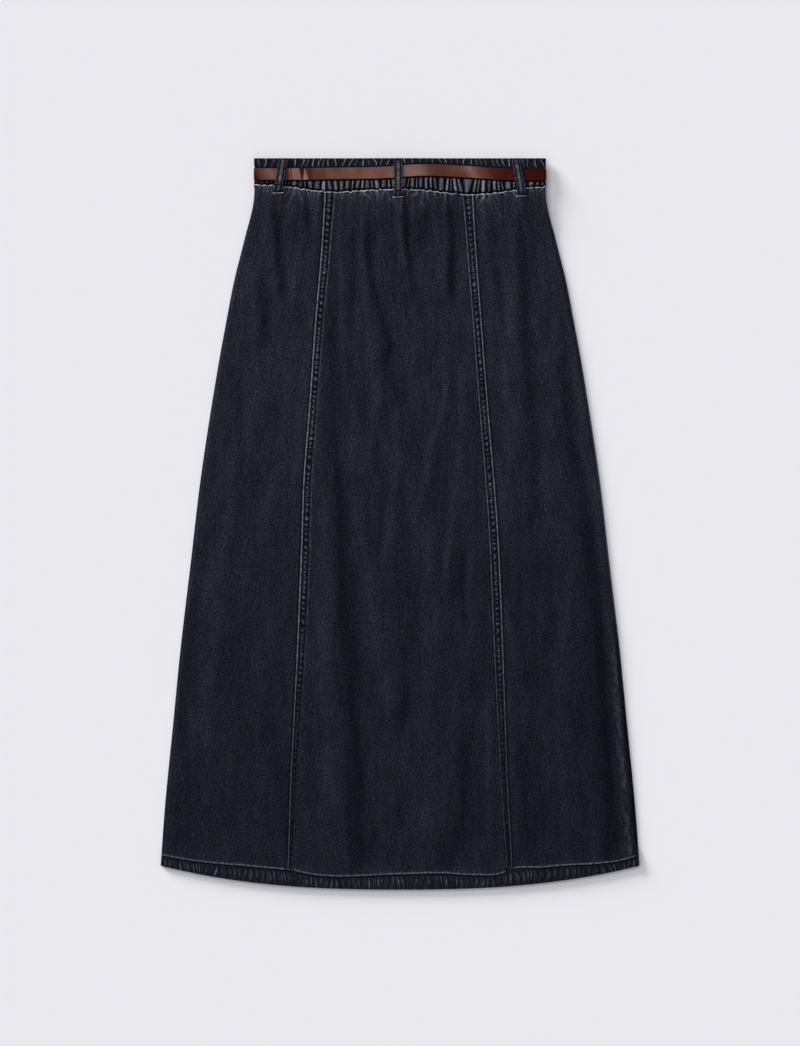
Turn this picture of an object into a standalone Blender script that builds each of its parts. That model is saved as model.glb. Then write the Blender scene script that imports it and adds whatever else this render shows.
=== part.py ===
"""A gored denim skirt with a gathered waist and a narrow leather belt, laid flat with its back up.

Metres, +Z up. The skirt rests on z = 0 on its front: the waist points to +Y, the hem to -Y, and the
wearer's left is at -X. A "drop" is a distance down the skirt from the waist's top edge.
"""

import math

import bmesh
import bpy
import numpy as np

MM = 0.001

# Driving sizes
LENGTH = 900 * MM
CLOTH = 1.2 * MM
GAP = 0.3 * MM
HEM_RISE = 29.5 * MM
HEM_HALF_WIDTH = 295 * MM
HEM_POWER = 2.5
BACK_HEM_DEPTH = 19 * MM
FRONT_HEM_DEPTH = 15 * MM
FRONT_HEM_SHY = 0.6 * MM
FRONT_BAND_DROP = 36 * MM
SEAM_LEVEL = 38 * MM

# Gathered waistband: two casings, one on the other
CASING = 3.0 * MM
FRONT_CASING_FLOOR = 3.4 * MM
BACK_CASING_FLOOR = FRONT_CASING_FLOOR + CASING + GAP
BAND_HALF_WIDTH = 179.6 * MM
BAND_NIPPED = 178.3 * MM
RIPPLE = 1.0 * MM
SIDE_GATHERS = 20
CENTRE_GATHERS = 40

# Belt, in its own cross-section
LEATHER = 1.4 * MM
BELT_WIDTH = 15 * MM
BELT_END = 180 * MM
BELT_TROUGH = 0.6 * MM
TIP_HALF_WIDTH = 4.2 * MM
SLOT_WIDTH = 3.2 * MM
BELT_FRONT_HEIGHT = 2.4 * MM
BELT_BACK_HEIGHT = BACK_CASING_FLOOR + CASING - BELT_TROUGH + GAP + LEATHER / 2
BELT_CORNER = 1.9 * MM
BUCKLE_DROP = 19.7 * MM
BUCKLE_HALF_LENGTH = 10 * MM
BUCKLE_HALF_HEIGHT = 10.9 * MM
BUCKLE_CORNER = 3 * MM
BUCKLE_LEVEL = 5.4 * MM
BUCKLE_WIRE = 0.8 * MM
PRONG_WIRE = 0.6 * MM
PRONG_REACH = 11.5 * MM
LIFT_HEIGHT = 5.2 * MM
LIFT_REACH = 45 * MM

# Belt loops
LOOP_WIDTH = 10.8 * MM
LOOP_CLOTH = 1.4 * MM

# The skirt's side edge: half its width, by drop (mm)
OUTLINE = (
    (0, 180.0), (52, 180.0), (100, 191.5), (150, 204.0), (200, 213.7), (250, 222.9), (300, 231.2),
    (400, 246.2), (500, 257.9), (600, 269.8), (700, 279.7), (800, 289.5), (880, 295.3),
)

# The seam between centre back and side back: its distance from the middle, by drop (mm)
GORE_SEAM = (
    (0, 88.0), (40, 89.5), (100, 94.8), (200, 101.6), (300, 109.0), (400, 117.0), (500, 122.0),
    (600, 126.0), (700, 130.3), (800, 134.5), (900, 139.0),
)

# How much of the waistband's height the panels still have, by drop (mm)
DESCENT = ((34, 1.0), (64, 0.8), (84, 0.42), (104, 0.12), (124, 0.0))

# The back waist seam: its drop (mm), by place across
WAIST_SEAM = (
    (-180, 31.6), (-145, 33.5), (-112, 38.0), (-86, 41.0), (-50, 39.2), (-10, 37.6), (25, 38.2),
    (60, 42.0), (86, 43.7), (117, 41.9), (142, 38.2), (158, 35.5), (180, 34.5),
)

# The belt's middle line on the back: its drop (mm), by place across
BELT_LINE = (
    (-180, 19.4), (-140, 19.4), (-74, 18.5), (-9, 16.9), (4, 15.7), (40, 14.4), (74, 16.0),
    (111, 18.5), (140, 20.0), (180, 20.0),
)

# The largest folds: slope across the fold (below 0 where it falls to +X), half its width (mm),
# and its course as (drop, place across) (mm)
FOLDS = (
    (-0.20, 5.0, ((60, -154), (100, -150), (158, -146))),
    (-0.18, 9.0, ((190, -84), (340, -83), (450, -73), (650, -61), (730, -53), (870, -52))),
    (-0.26, 5.0, ((100, -41), (142, -37), (187, -25), (230, -12))),
    (-0.24, 5.0, ((50, 6), (105, 8), (158, 17))),
    (-0.28, 5.0, ((45, 59), (93, 63), (160, 63))),
    (-0.18, 7.0, ((82, 148), (142, 152), (236, 156), (330, 163), (440, 164))),
    (-0.20, 9.0, ((255, 200), (340, 209), (454, 230), (565, 242), (710, 254), (868, 262))),
    (-0.14, 6.0, ((250, -62), (300, -50), (340, -41), (372, -25))),
    (-0.14, 9.0, ((660, 88), (750, 82), (811, 74), (866, 61))),
    (-0.12, 9.0, ((730, -151), (811, -143), (856, -127))),
    (0.14, 5.0, ((110, -49), (195, -41), (269, -29), (305, -28))),
    (0.14, 6.0, ((100, 136), (195, 133), (269, 131), (360, 137))),
    (0.14, 5.0, ((285, 57), (360, 37), (400, 29), (450, 16))),
    (0.12, 6.0, ((359, -62), (441, -53), (524, -37), (618, -29), (675, -12))),
    (0.14, 8.0, ((440, -95), (667, -94), (790, -86))),
    (0.10, 12.0, ((480, -224), (606, -234), (720, -242))),
)

# Belt loops: name, place across at the top and at the bottom (mm), drop of the bottom end (mm)
BACK_LOOPS = (
    ("loop_back_left", -144.0, -149.6, 41.2),
    ("loop_back_centre", -2.2, -2.2, 46.2),
    ("loop_back_right", 142.9, 149.5, 44.9),
)
FRONT_LOOPS = (("loop_front_left", -80.0), ("loop_front_right", 80.0))

# The strap's middle line underneath, as (place across, height) (mm): the end sewn back over the
# buckle's bar, the run from the bar to the right side, the run from the left side over the far bar,
# and the tip, which comes up through the frame and lies outside the fixed run
SEWN_END = ((28, 5.3), (20, 5.3), (15, 5.5), (12.6, 6.6))
FIXED_RUN = (
    (14, 3.6), (30, 3.6), (43, 3.6), (50, 2.5), (62, 2.4), (80, 2.4), (110, 2.4), (145, 2.4), (170, 2.4),
)
TIP_RUN = (
    (-170, 2.4), (-145, 2.4), (-110, 2.4), (-80, 2.4), (-55, 2.4), (-36, 4.2), (-20, 6.6), (-10, 7.25),
    (-4, 6.7),
)
TIP_END = ((-1.2, 5.6), (5.6, 2.0), (9, 1.9), (30, 1.9), (42, 1.9), (50, 0.8), (57, 0.7), (60, 0.7))
BACK_STEPS = tuple(range(168, 63, -13)) + tuple(range(60, -61, -4)) + tuple(range(-64, -169, -13))

# Finishes: colour (linear RGB), roughness, metallic
FINISHES = {
    "denim": ((0.014, 0.015, 0.024), 0.9, 0.0),
    "leather": ((0.11, 0.047, 0.036), 0.55, 0.0),
    "brass": ((0.45, 0.33, 0.16), 0.35, 1.0),
}


def ease(share):
    """Rise smoothly from 0 to 1 as share goes from 0 to 1."""
    held = np.clip(share, 0.0, 1.0)
    return held * held * (3.0 - 2.0 * held)


def follow(table, place):
    """Read a smooth line through a table of (place, value) in millimetres, in metres."""
    known, value = (np.array(column) * MM for column in zip(*table))
    slope = np.gradient(value, known)
    spot = np.clip(place, known[0], known[-1])
    low = np.clip(np.searchsorted(known, spot, side="right") - 1, 0, len(known) - 2)
    span = known[low + 1] - known[low]
    share = (spot - known[low]) / span
    straight = value[low] + (value[low + 1] - value[low]) * ease(share)
    leaving = span * slope[low] * share * (1 - share) ** 2
    arriving = span * slope[low + 1] * share ** 2 * (1 - share)
    return straight + leaving - arriving


def half_width(drop):
    """Half the skirt's width at a drop."""
    return follow(OUTLINE, drop)


def left_edge(drop):
    """Place across of the skirt's left side edge at a drop."""
    return -half_width(drop)


def gore_seam(drop):
    """Distance of the gore seams from the middle at a drop."""
    return follow(GORE_SEAM, drop)


def left_gore_seam(drop):
    """Place across of the left gore seam at a drop."""
    return -gore_seam(drop)


def hem_drop(across):
    """Drop of the hem's edge, which curves up towards the sides."""
    return LENGTH - HEM_RISE * np.abs(across / HEM_HALF_WIDTH) ** HEM_POWER


def buckle_lift(across):
    """How far the fastened buckle underneath lifts the layers above it."""
    return LIFT_HEIGHT * np.exp(-(across / LIFT_REACH) ** 4)


def fold_height(across, drop):
    """Sum of the largest folds' heights, each a slope that levels out again on both sides."""
    height = np.zeros(np.broadcast(across, drop).shape)
    for slope, half, course in FOLDS:
        drops, places = (np.array(column) * MM for column in zip(*course))
        fade = 25 * MM
        shown = ease((drop - drops[0] + fade) / fade) * ease((drops[-1] + fade - drop) / fade)
        offset = (across - np.interp(drop, drops, places)) / (half * MM)
        swing = np.tanh(0.8 * offset) - np.tanh(0.8 * offset / 3)
        height += slope * half * MM * 1.25 * swing * shown
    return height


def gather(index, below_seam):
    """Height of the waist's gathers on a panel, crest and hollow by turns, dying out downwards."""
    uneven = 0.75 + 0.25 * np.sin(2.1 * index + 0.7)
    fading = np.exp(-np.maximum(below_seam, 0) / (14 * MM + 9 * MM * np.sin(1.3 * index) ** 2))
    return RIPPLE * uneven * np.cos(math.pi * index) * fading


def front_floor(across, drop):
    """Height of the front panel's underside: on the floor, rising to the waistband."""
    drops, shares = zip(*DESCENT)
    risen = np.interp(drop, np.array(drops) * MM, shares)
    return (FRONT_CASING_FLOOR + 0.9 * MM + buckle_lift(across)) * risen


def slack(across, drop):
    """How far the back panels stand clear of the front one: loose air with folds in it."""
    body = 2.1 * MM - 0.5 * MM * ease((drop - 500 * MM) / (400 * MM))
    from_edge = np.maximum(half_width(drop) - np.abs(across), 0)
    edge = ease(from_edge / (14 * MM)) + (1 - ease((drop - 40 * MM) / (60 * MM)))
    return np.maximum(body * np.minimum(edge, 1) + fold_height(across, drop) * ease(from_edge / (20 * MM)), 0)


def finish(name):
    """The named finish, as a Principled material."""
    made = bpy.data.materials.get(name)
    if made is None:
        colour, roughness, metallic = FINISHES[name]
        made = bpy.data.materials.new(name)
        made.use_nodes = True
        surface = made.node_tree.nodes["Principled BSDF"]
        surface.inputs["Base Color"].default_value = (*colour, 1.0)
        surface.inputs["Roughness"].default_value = roughness
        surface.inputs["Metallic"].default_value = metallic
        made.diffuse_color = (*colour, 1.0)
    return made


def wall(name, look, outer, inner, holes=(), ring=False):
    """Make one closed wall between two matching grids of points, edged all round.

    holes lists the grid cells, as (row, column), that are left open. With ring, the last row joins
    the first.
    """
    rows, columns = outer.shape[:2]
    shaped = bmesh.new()
    faces = [[[shaped.verts.new(point) for point in line] for line in grid] for grid in (outer, inner)]
    turns = set()
    for row in range(rows if ring else rows - 1):
        after = (row + 1) % rows
        for column in range(columns - 1):
            if (row, column) in holes:
                continue
            corners = [(row, column), (after, column), (after, column + 1), (row, column + 1)]
            shaped.faces.new([faces[0][r][c] for r, c in corners])
            shaped.faces.new([faces[1][r][c] for r, c in reversed(corners)])
            turns.update(zip(corners, corners[1:] + corners[:1]))
    for start, end in sorted(turns):
        if (end, start) not in turns:
            rim = (faces[0][end[0]][end[1]], faces[0][start[0]][start[1]],
                   faces[1][start[0]][start[1]], faces[1][end[0]][end[1]])
            shaped.faces.new(rim)
    loose = [point for point in shaped.verts if not point.link_faces]
    bmesh.ops.delete(shaped, geom=loose, context="VERTS")
    bmesh.ops.recalc_face_normals(shaped, faces=shaped.faces)
    mesh = bpy.data.meshes.new(name)
    shaped.to_mesh(mesh)
    shaped.free()
    return placed(name, look, mesh)


def placed(name, look, data):
    """Put a mesh or curve in the scene under its name, smooth where it is round."""
    data.materials.append(finish(look))
    thing = bpy.data.objects.new(name, data)
    bpy.context.scene.collection.objects.link(thing)
    if isinstance(data, bpy.types.Mesh):
        data.shade_smooth()
        data.set_sharp_from_angle(angle=math.radians(40))
    return thing


def wire(name, look, points, radius, closed):
    """A round wire along a line of points."""
    line = bpy.data.curves.new(name, "CURVE")
    line.dimensions = "3D"
    line.bevel_depth = radius
    line.bevel_resolution = 2
    line.use_fill_caps = not closed
    spline = line.splines.new("POLY")
    spline.points.add(len(points) - 1)
    for knot, point in zip(spline.points, points):
        knot.co = (*point, 1.0)
    spline.use_cyclic_u = closed
    return placed(name, look, line)


def arc(centre, radius, start, end, count):
    """Points on an arc in a plane, angles in degrees."""
    angles = np.radians(np.linspace(start, end, count))
    return [(centre[0] + radius * math.cos(a), centre[1] + radius * math.sin(a)) for a in angles]


def stack(across, height, drop):
    """Grid of points from places across, heights and drops."""
    grid = np.broadcast_arrays(across, LENGTH / 2 - drop, height)
    return np.stack(grid, axis=-1)


def rows_down(head, foot, hem_depth, stretches):
    """Drops of a panel's rows: close together under the waist seam and at the turned-up hem."""
    lines = [head + near * MM for near in (0, 6, 14)]
    lines += [head * 0 + line * MM for line, _ in DESCENT[1:]]
    start = lines[-1]
    turn = foot - hem_depth - 2 * MM
    lines += [start + (turn - start) * share for share in np.linspace(0, 1, stretches + 1)[1:]]
    return np.array(lines + [foot - hem_depth, foot])


def fit_foot(left, right, share):
    """Drop at which each column of a panel meets the hem's edge."""
    foot = np.full(share.shape, LENGTH)
    for _ in range(5):
        foot = hem_drop(left(foot) + (right(foot) - left(foot)) * share)
    return foot


def uneven_columns(count, open_side):
    """Indices and shares of a gathered panel's columns; open_side marks the skirt's side edge."""
    index = np.arange(count + 1, dtype=float)
    if open_side < 0:
        index = np.insert(index, 1, 0.3)
    if open_side > 0:
        index = np.insert(index, -1, count - 0.3)
    share = (index + 0.18 * np.sin(1.7 * index) * np.sin(math.pi * index / count)) / count
    return index, share


def back_panel(name, left, right, gathers, open_side):
    """One back panel, from the waist seam to the hem, lying over the front."""
    index, share = uneven_columns(gathers, open_side)
    top_across = left(SEAM_LEVEL) + (right(SEAM_LEVEL) - left(SEAM_LEVEL)) * share
    head = follow(WAIST_SEAM, top_across) + GAP
    foot = fit_foot(left, right, share)
    drop = rows_down(head, foot, BACK_HEM_DEPTH, 6)
    across = left(drop) + (right(drop) - left(drop)) * share
    hem = (drop > foot - BACK_HEM_DEPTH - MM) * 1.0
    clear = slack(across, drop)
    lap = 0.6 * MM * (1 - ease((gore_seam(drop) - np.abs(across) - 9 * MM) / (3 * MM)))
    clear = clear + (lap if open_side == 0 else 0)
    clear = np.maximum(clear + gather(index, drop - head), 0)
    inner = front_floor(across, drop) + CLOTH + GAP + np.maximum(clear - CLOTH * hem, CLOTH * hem)
    outer = inner + CLOTH * (1 + hem)
    rim = np.abs(across) > half_width(drop) - 0.1 * MM
    outer = outer - 0.5 * MM * rim
    return wall(name, "denim", stack(across, outer, drop), stack(across, inner, drop))


def front_panel():
    """The plain front panel, underneath."""
    edge_share = 0.004
    share = np.concatenate(([0, edge_share], np.linspace(0, 1, 21)[1:-1], [1 - edge_share, 1]))

    head = np.full(share.shape, FRONT_BAND_DROP + GAP)
    foot = fit_foot(left_edge, half_width, share) - FRONT_HEM_SHY
    drop = rows_down(head, foot, FRONT_HEM_DEPTH, 4)
    across = half_width(drop) * (2 * share - 1)
    hem = (drop > foot - FRONT_HEM_DEPTH - MM) * 1.0
    under = front_floor(across, drop)
    over = under + CLOTH * (1 + hem)
    rim = np.abs(across) > half_width(drop) - 0.1 * MM
    return wall("front", "denim", stack(across, under + 0.5 * MM * rim, drop), stack(across, over, drop))


def band_reach(place, nip):
    """Places across the waistband, drawn in where the belt holds it (nip from 0 to 1)."""
    return place * (1 - nip * (1 - BAND_NIPPED / BAND_HALF_WIDTH))


def band_columns():
    """Indices and places across of the gathered waistband's columns, in step with the back panels."""
    indices, places = [], []
    seam = gore_seam(SEAM_LEVEL)
    for start, end, count, side in ((-BAND_HALF_WIDTH, -seam, SIDE_GATHERS, -1),
                                    (-seam, seam, CENTRE_GATHERS, 0),
                                    (seam, BAND_HALF_WIDTH, SIDE_GATHERS, 1)):
        index, share = uneven_columns(count, side)
        kept = slice(0 if side < 0 else 1, None)
        indices.append(index[kept])
        places.append((start + (end - start) * share)[kept])
    return np.concatenate(indices), np.concatenate(places)


def waistband_back():
    """The gathered back casing, pressed flat in a trough under the belt."""
    index, place = band_columns()
    belt = follow(BELT_LINE, place)
    foot = follow(WAIST_SEAM, place)
    belt_top = belt - BELT_WIDTH / 2 - 0.8 * MM
    belt_foot = belt + BELT_WIDTH / 2 + 0.8 * MM
    nothing = np.zeros(place.shape)
    # each row: drop, height off the middle of the casing (mm), share of the ripple, nip of the belt
    rows = (
        (nothing, 0.7, 0.7, 0),
        (nothing + 1.6 * MM, 1.3, 1.0, 0),
        (belt_top - 1.6 * MM, 1.5, 1.0, 0),
        (belt_top, 0.9, 0.0, 1),
        (belt_foot, 0.9, 0.0, 1),
        (belt_foot + 2.0 * MM, 1.5, 1.1, 0),
        (foot, 0.8, 0.8, 0),
    )
    drop = np.array([row[0] for row in rows])
    rise, share, nip = (np.array([[row[column]] for row in rows]) for column in (1, 2, 3))
    rise = rise * MM
    ripple = share * gather(index, nothing)
    across = band_reach(place, nip)
    middle = BACK_CASING_FLOOR + CASING / 2 + buckle_lift(across)
    under = middle - np.minimum(rise + 0.4 * MM, CASING / 2)
    rim = np.abs(place) > BAND_HALF_WIDTH - 0.1 * MM
    over = middle + rise + ripple - 0.5 * MM * rim
    return wall("waistband_back", "denim", stack(across, over, drop), stack(across, under, drop))


def waistband_front():
    """The front casing, underneath, lifted over the buckle."""
    count = 36
    index = np.arange(count + 1, dtype=float)
    place = np.linspace(-BAND_HALF_WIDTH, BAND_HALF_WIDTH, count + 1)
    # each row: drop (mm), height off the middle of the casing (mm), scallop, nip of the belt
    rows = ((0.0, 0.7, 0, 0), (1.6, 1.5, 1, 0), (9.6, 1.5, 1, 0), (11.4, 1.5, 0, 1),
            (28.0, 1.5, 0, 1), (29.8, 1.5, 1, 0), (36.0, 0.7, 0, 0))
    drop, rise, scallop, nip = (np.array(column)[:, None] for column in zip(*rows))
    drop = drop * MM + 0 * place
    rise = rise * MM
    across = band_reach(place, nip)
    middle = FRONT_CASING_FLOOR + CASING / 2 + buckle_lift(across)
    rim = np.abs(place) > BAND_HALF_WIDTH - 0.1 * MM
    hollow = 0.3 * MM * (1 - np.cos(math.pi * index)) * scallop
    under = middle - rise + hollow + 0.5 * MM * rim
    return wall("waistband_front", "denim", stack(across, under, drop), stack(across, middle + rise, drop))


def belt_course():
    """The belt's middle line round the waist as (place across, height), and where it has slots.

    It starts at the end sewn back round the buckle's bar, runs round by the right side, over the
    back and round the left side, and ends at the tip, which lies outside the start.
    """
    bar = (BUCKLE_HALF_LENGTH, BUCKLE_LEVEL)
    bend = BUCKLE_WIRE + GAP + LEATHER / 2
    corner_across = BELT_END - LEATHER / 2 - BELT_CORNER
    low, high = BELT_FRONT_HEIGHT + BELT_CORNER, BELT_BACK_HEIGHT - BELT_CORNER
    course = [(across * MM, height * MM) for across, height in SEWN_END]
    course += arc(bar, bend, 90, 270, 7)
    wrapped = len(course)
    course += [(across * MM, height * MM) for across, height in FIXED_RUN]
    course += arc((corner_across, low), BELT_CORNER, -90, 0, 4)
    course += arc((corner_across, high), BELT_CORNER, 0, 90, 4)
    course += [(step * MM, BELT_BACK_HEIGHT + buckle_lift(step * MM)) for step in BACK_STEPS]
    course += arc((-corner_across, high), BELT_CORNER, 90, 180, 4)
    course += arc((-corner_across, low), BELT_CORNER, 180, 270, 4)
    course += [(across * MM, height * MM) for across, height in TIP_RUN]
    crossing = len(course)
    course += [(across * MM, height * MM) for across, height in TIP_END]
    slots = list(range(2, wrapped)) + [crossing]
    return np.array(course), slots


def belt():
    """The leather strap, one open spiral round the waist."""
    course, slots = belt_course()
    along = np.gradient(course, axis=0)
    along /= np.linalg.norm(along, axis=1)[:, None]
    side = np.stack((-along[:, 1], along[:, 0]), axis=1) * LEATHER / 2
    on_back = course[:, 1] > BELT_BACK_HEIGHT - BELT_CORNER
    front_line = BUCKLE_DROP + 0.3 * MM * course[:, 0] / BELT_END
    middle = np.where(on_back, follow(BELT_LINE, course[:, 0]), front_line)
    reach = np.full(len(course), BELT_WIDTH / 2)
    reach[-1] = TIP_HALF_WIDTH
    widths = np.array([-1, -SLOT_WIDTH / BELT_WIDTH, SLOT_WIDTH / BELT_WIDTH, 1])
    drop = middle[:, None] + reach[:, None] * widths[None, :]
    outer = stack((course + side)[:, :1], (course + side)[:, 1:], drop)
    inner = stack((course - side)[:, :1], (course - side)[:, 1:], drop)
    return wall("belt", "leather", outer, inner, holes={(row, 1) for row in slots})


def belt_buckle():
    """The wire frame: its far bar at -X, and at +X the bar that the strap is sewn round."""
    middle = LENGTH / 2 - BUCKLE_DROP
    inset_x = BUCKLE_HALF_LENGTH - BUCKLE_CORNER
    inset_y = BUCKLE_HALF_HEIGHT - BUCKLE_CORNER
    line = []
    for quarter, (sign_x, sign_y) in enumerate(((1, 1), (-1, 1), (-1, -1), (1, -1))):
        centre = (sign_x * inset_x, middle + sign_y * inset_y)
        line += arc(centre, BUCKLE_CORNER, 90 * quarter, 90 * quarter + 90, 5)
    points = [(across, along, BUCKLE_LEVEL) for across, along in line]
    return wire("belt_buckle", "brass", points, BUCKLE_WIRE, closed=True)


def belt_prong():
    """The prong: an eye round the sewn bar, and a shank through the strap to the far bar."""
    eye = BUCKLE_WIRE + GAP + PRONG_WIRE
    line = arc((BUCKLE_HALF_LENGTH, BUCKLE_LEVEL), eye, 170, -90, 10)
    line += [(2 * MM, 3.6 * MM), (-PRONG_REACH, 3.55 * MM)]
    middle = LENGTH / 2 - BUCKLE_DROP
    points = [(across, middle, height) for across, height in line]
    return wire("belt_prong", "brass", points, PRONG_WIRE, closed=False)


def belt_keeper():
    """The fixed leather loop that holds the tip down."""
    leather = 0.9 * MM
    start, end = 31 * MM, 38 * MM
    reach = BELT_WIDTH / 2 + GAP + leather / 2
    low, high = leather / 2, 4.6 * MM + leather / 2
    bend = 0.8 * MM
    line = []
    for quarter, (sign, level) in enumerate(((1, high - bend), (-1, high - bend), (-1, low + bend),
                                             (1, low + bend))):
        centre = (sign * (reach - bend), level)
        line += arc(centre, bend, 90 * quarter, 90 * quarter + 90, 4)
    course = np.array(line)
    along = np.roll(course, -1, axis=0) - np.roll(course, 1, axis=0)
    along /= np.linalg.norm(along, axis=1)[:, None]
    side = np.stack((along[:, 1], -along[:, 0]), axis=1) * leather / 2
    across = np.array([[start, end]])
    outer = stack(across, (course + side)[:, 1:], BUCKLE_DROP - (course + side)[:, :1])
    inner = stack(across, (course - side)[:, 1:], BUCKLE_DROP - (course - side)[:, :1])
    return wall("belt_keeper", "leather", outer, inner, ring=True)


def loop(name, course, across):
    """A belt loop along a course of (drop, height) of its middle; across is its place by course point."""
    course = np.array(course)
    along = np.gradient(course, axis=0)
    along /= np.linalg.norm(along, axis=1)[:, None]
    side = np.stack((-along[:, 1], along[:, 0]), axis=1) * LOOP_CLOTH / 2
    places = np.asarray(across)[:, None] + np.array([[-0.5, 0.5]]) * LOOP_WIDTH
    outer = stack(places, (course + side)[:, 1:], (course + side)[:, :1])
    inner = stack(places, (course - side)[:, 1:], (course - side)[:, :1])
    return wall(name, "denim", outer, inner)


def back_loop(name, top, bottom, foot):
    """A loop on the back, over the belt, ending just below the waist seam."""
    lift = float(buckle_lift(np.array(top * MM)))
    over_belt = BELT_BACK_HEIGHT + LEATHER / 2 + GAP + LOOP_CLOTH / 2
    drops = np.array([0.9, 6.0, 28.0, foot - 9.0, foot]) * MM
    heights = np.array([over_belt, over_belt, over_belt, over_belt - 0.3 * MM, over_belt - 0.9 * MM]) + lift
    places = top * MM + (bottom - top) * MM * ease(drops / (foot * MM))
    return loop(name, np.stack((drops, heights), axis=1), places)


def front_loop(name, place):
    """A loop on the front, under the belt and resting on the floor."""
    seated = FRONT_CASING_FLOOR - GAP - LOOP_CLOTH / 2
    low = LOOP_CLOTH / 2
    course = [(1.0 * MM, seated), (8.0 * MM, seated), (11.5 * MM, low), (28.0 * MM, low),
              (31.5 * MM, seated), (44.0 * MM, seated)]
    return loop(name, course, [place * MM] * len(course))


def main():
    """Clear the scene and make every piece of the skirt."""
    for thing in list(bpy.data.objects):
        bpy.data.objects.remove(thing, do_unlink=True)

    back_panel("back_centre", left_gore_seam, gore_seam, CENTRE_GATHERS, 0)
    back_panel("back_left", left_edge, lambda drop: left_gore_seam(drop) - GAP, SIDE_GATHERS, -1)
    back_panel("back_right", lambda drop: gore_seam(drop) + GAP, half_width, SIDE_GATHERS, 1)
    front_panel()
    waistband_back()
    waistband_front()
    belt()
    belt_buckle()
    belt_prong()
    belt_keeper()
    for name, top, bottom, foot in BACK_LOOPS:
        back_loop(name, top, bottom, foot)
    for name, place in FRONT_LOOPS:
        front_loop(name, place)


main()
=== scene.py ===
"""A washed denim skirt with a gathered waist and a slim leather belt, laid flat with its back up."""
import logging
import math
from dataclasses import dataclass
from enum import Enum
from functools import cached_property
from typing import Any, Callable, ClassVar, Sequence

import bmesh
import bpy
import numpy as np
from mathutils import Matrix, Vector
from numpy.typing import NDArray


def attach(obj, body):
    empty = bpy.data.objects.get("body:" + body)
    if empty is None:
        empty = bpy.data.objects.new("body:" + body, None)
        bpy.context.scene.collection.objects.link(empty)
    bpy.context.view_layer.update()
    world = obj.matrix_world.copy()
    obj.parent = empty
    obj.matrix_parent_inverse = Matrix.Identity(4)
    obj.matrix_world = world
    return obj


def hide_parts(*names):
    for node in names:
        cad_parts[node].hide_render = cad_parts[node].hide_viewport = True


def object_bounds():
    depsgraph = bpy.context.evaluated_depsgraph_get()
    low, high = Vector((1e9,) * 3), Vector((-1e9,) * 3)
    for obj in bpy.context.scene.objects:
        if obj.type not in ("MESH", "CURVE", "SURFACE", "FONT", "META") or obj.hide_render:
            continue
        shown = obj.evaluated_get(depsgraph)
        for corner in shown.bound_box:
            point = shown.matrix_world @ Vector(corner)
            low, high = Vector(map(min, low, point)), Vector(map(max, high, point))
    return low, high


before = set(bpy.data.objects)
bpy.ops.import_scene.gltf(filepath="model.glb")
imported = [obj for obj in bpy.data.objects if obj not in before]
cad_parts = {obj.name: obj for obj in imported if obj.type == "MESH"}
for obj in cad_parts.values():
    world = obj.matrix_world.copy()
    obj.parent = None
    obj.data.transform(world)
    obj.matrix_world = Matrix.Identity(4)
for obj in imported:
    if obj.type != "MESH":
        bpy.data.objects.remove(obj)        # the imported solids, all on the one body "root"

Array = NDArray[np.float64]
Table = Sequence[tuple[float, float]]
LOG = logging.getLogger("skirt")
INSIDE_DARKER = 0.3

CAD_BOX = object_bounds()
MM = 0.001
LENGTH = CAD_BOX[1][1] - CAD_BOX[0][1]

# Side edge: half the skirt's width, by drop from the waist's top edge (mm)
OUTLINE = (
    (0, 180.0), (52, 180.0), (100, 191.5), (150, 204.0), (200, 213.7), (250, 222.9), (300, 231.2),
    (400, 246.2), (500, 257.9), (600, 269.8), (700, 279.7), (800, 289.5), (880, 295.3),
)

# Seam between centre back and side back: its distance from the middle, by drop (mm)
GORE_SEAM = (
    (0, 88.6), (40, 90.5), (100, 93.8), (200, 101.6), (300, 109.0), (400, 117.0), (500, 122.0),
    (600, 126.0), (700, 130.3), (800, 134.5), (900, 139.0),
)

# How far both gore seams sit to the left of even, by drop (mm)
SEAM_SHIFT = (
    (0, 1.4), (130, 1.5), (200, 1.9), (300, 1.6), (400, 1.2), (450, 0.2), (600, -0.2), (700, 0.5),
    (760, 1.1), (860, 0.0), (900, 0.0),
)

# Width of the lapped strips between their two rows of stitches, by drop (mm)
STRIP_WIDTH = (
    (0, 11.8), (55, 11.3), (90, 10.3), (130, 9.9), (400, 9.8), (550, 10.2), (650, 9.4), (740, 7.8),
    (800, 7.0), (900, 6.2),
)

# Back waist seam: its drop, by place across (mm)
WAIST_SEAM = (
    (-180, 31.6), (-145, 33.5), (-112, 38.0), (-86, 41.0), (-50, 39.2), (-10, 37.6), (25, 38.2),
    (60, 42.0), (86, 43.7), (117, 41.9), (142, 38.2), (158, 35.5), (180, 34.5),
)

# Belt's middle line on the back: its drop, by place across (mm)
BELT_LINE = (
    (-180, 19.4), (-140, 19.4), (-74, 18.5), (-9, 16.9), (4, 15.7), (40, 14.4), (74, 16.0),
    (111, 18.5), (140, 20.0), (180, 20.0),
)

# How much of the waistband's height the panels still have, by drop (mm)
DESCENT = ((34, 1.0), (64, 0.8), (84, 0.42), (104, 0.12), (124, 0.0))

# Depth of the turned-up hem, by place across (mm); it steps where the gores meet
HEM_DEPTH = (
    (-295, 12.5), (-246, 15.0), (-197, 18.4), (-150, 19.3), (-132, 19.0), (-118, 16.8), (0, 18.4),
    (50, 19.2), (92, 15.8), (124, 15.6), (138, 20.4), (172, 18.8), (200, 17.8), (246, 13.0),
    (271, 11.0), (295, 12.5),
)

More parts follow.
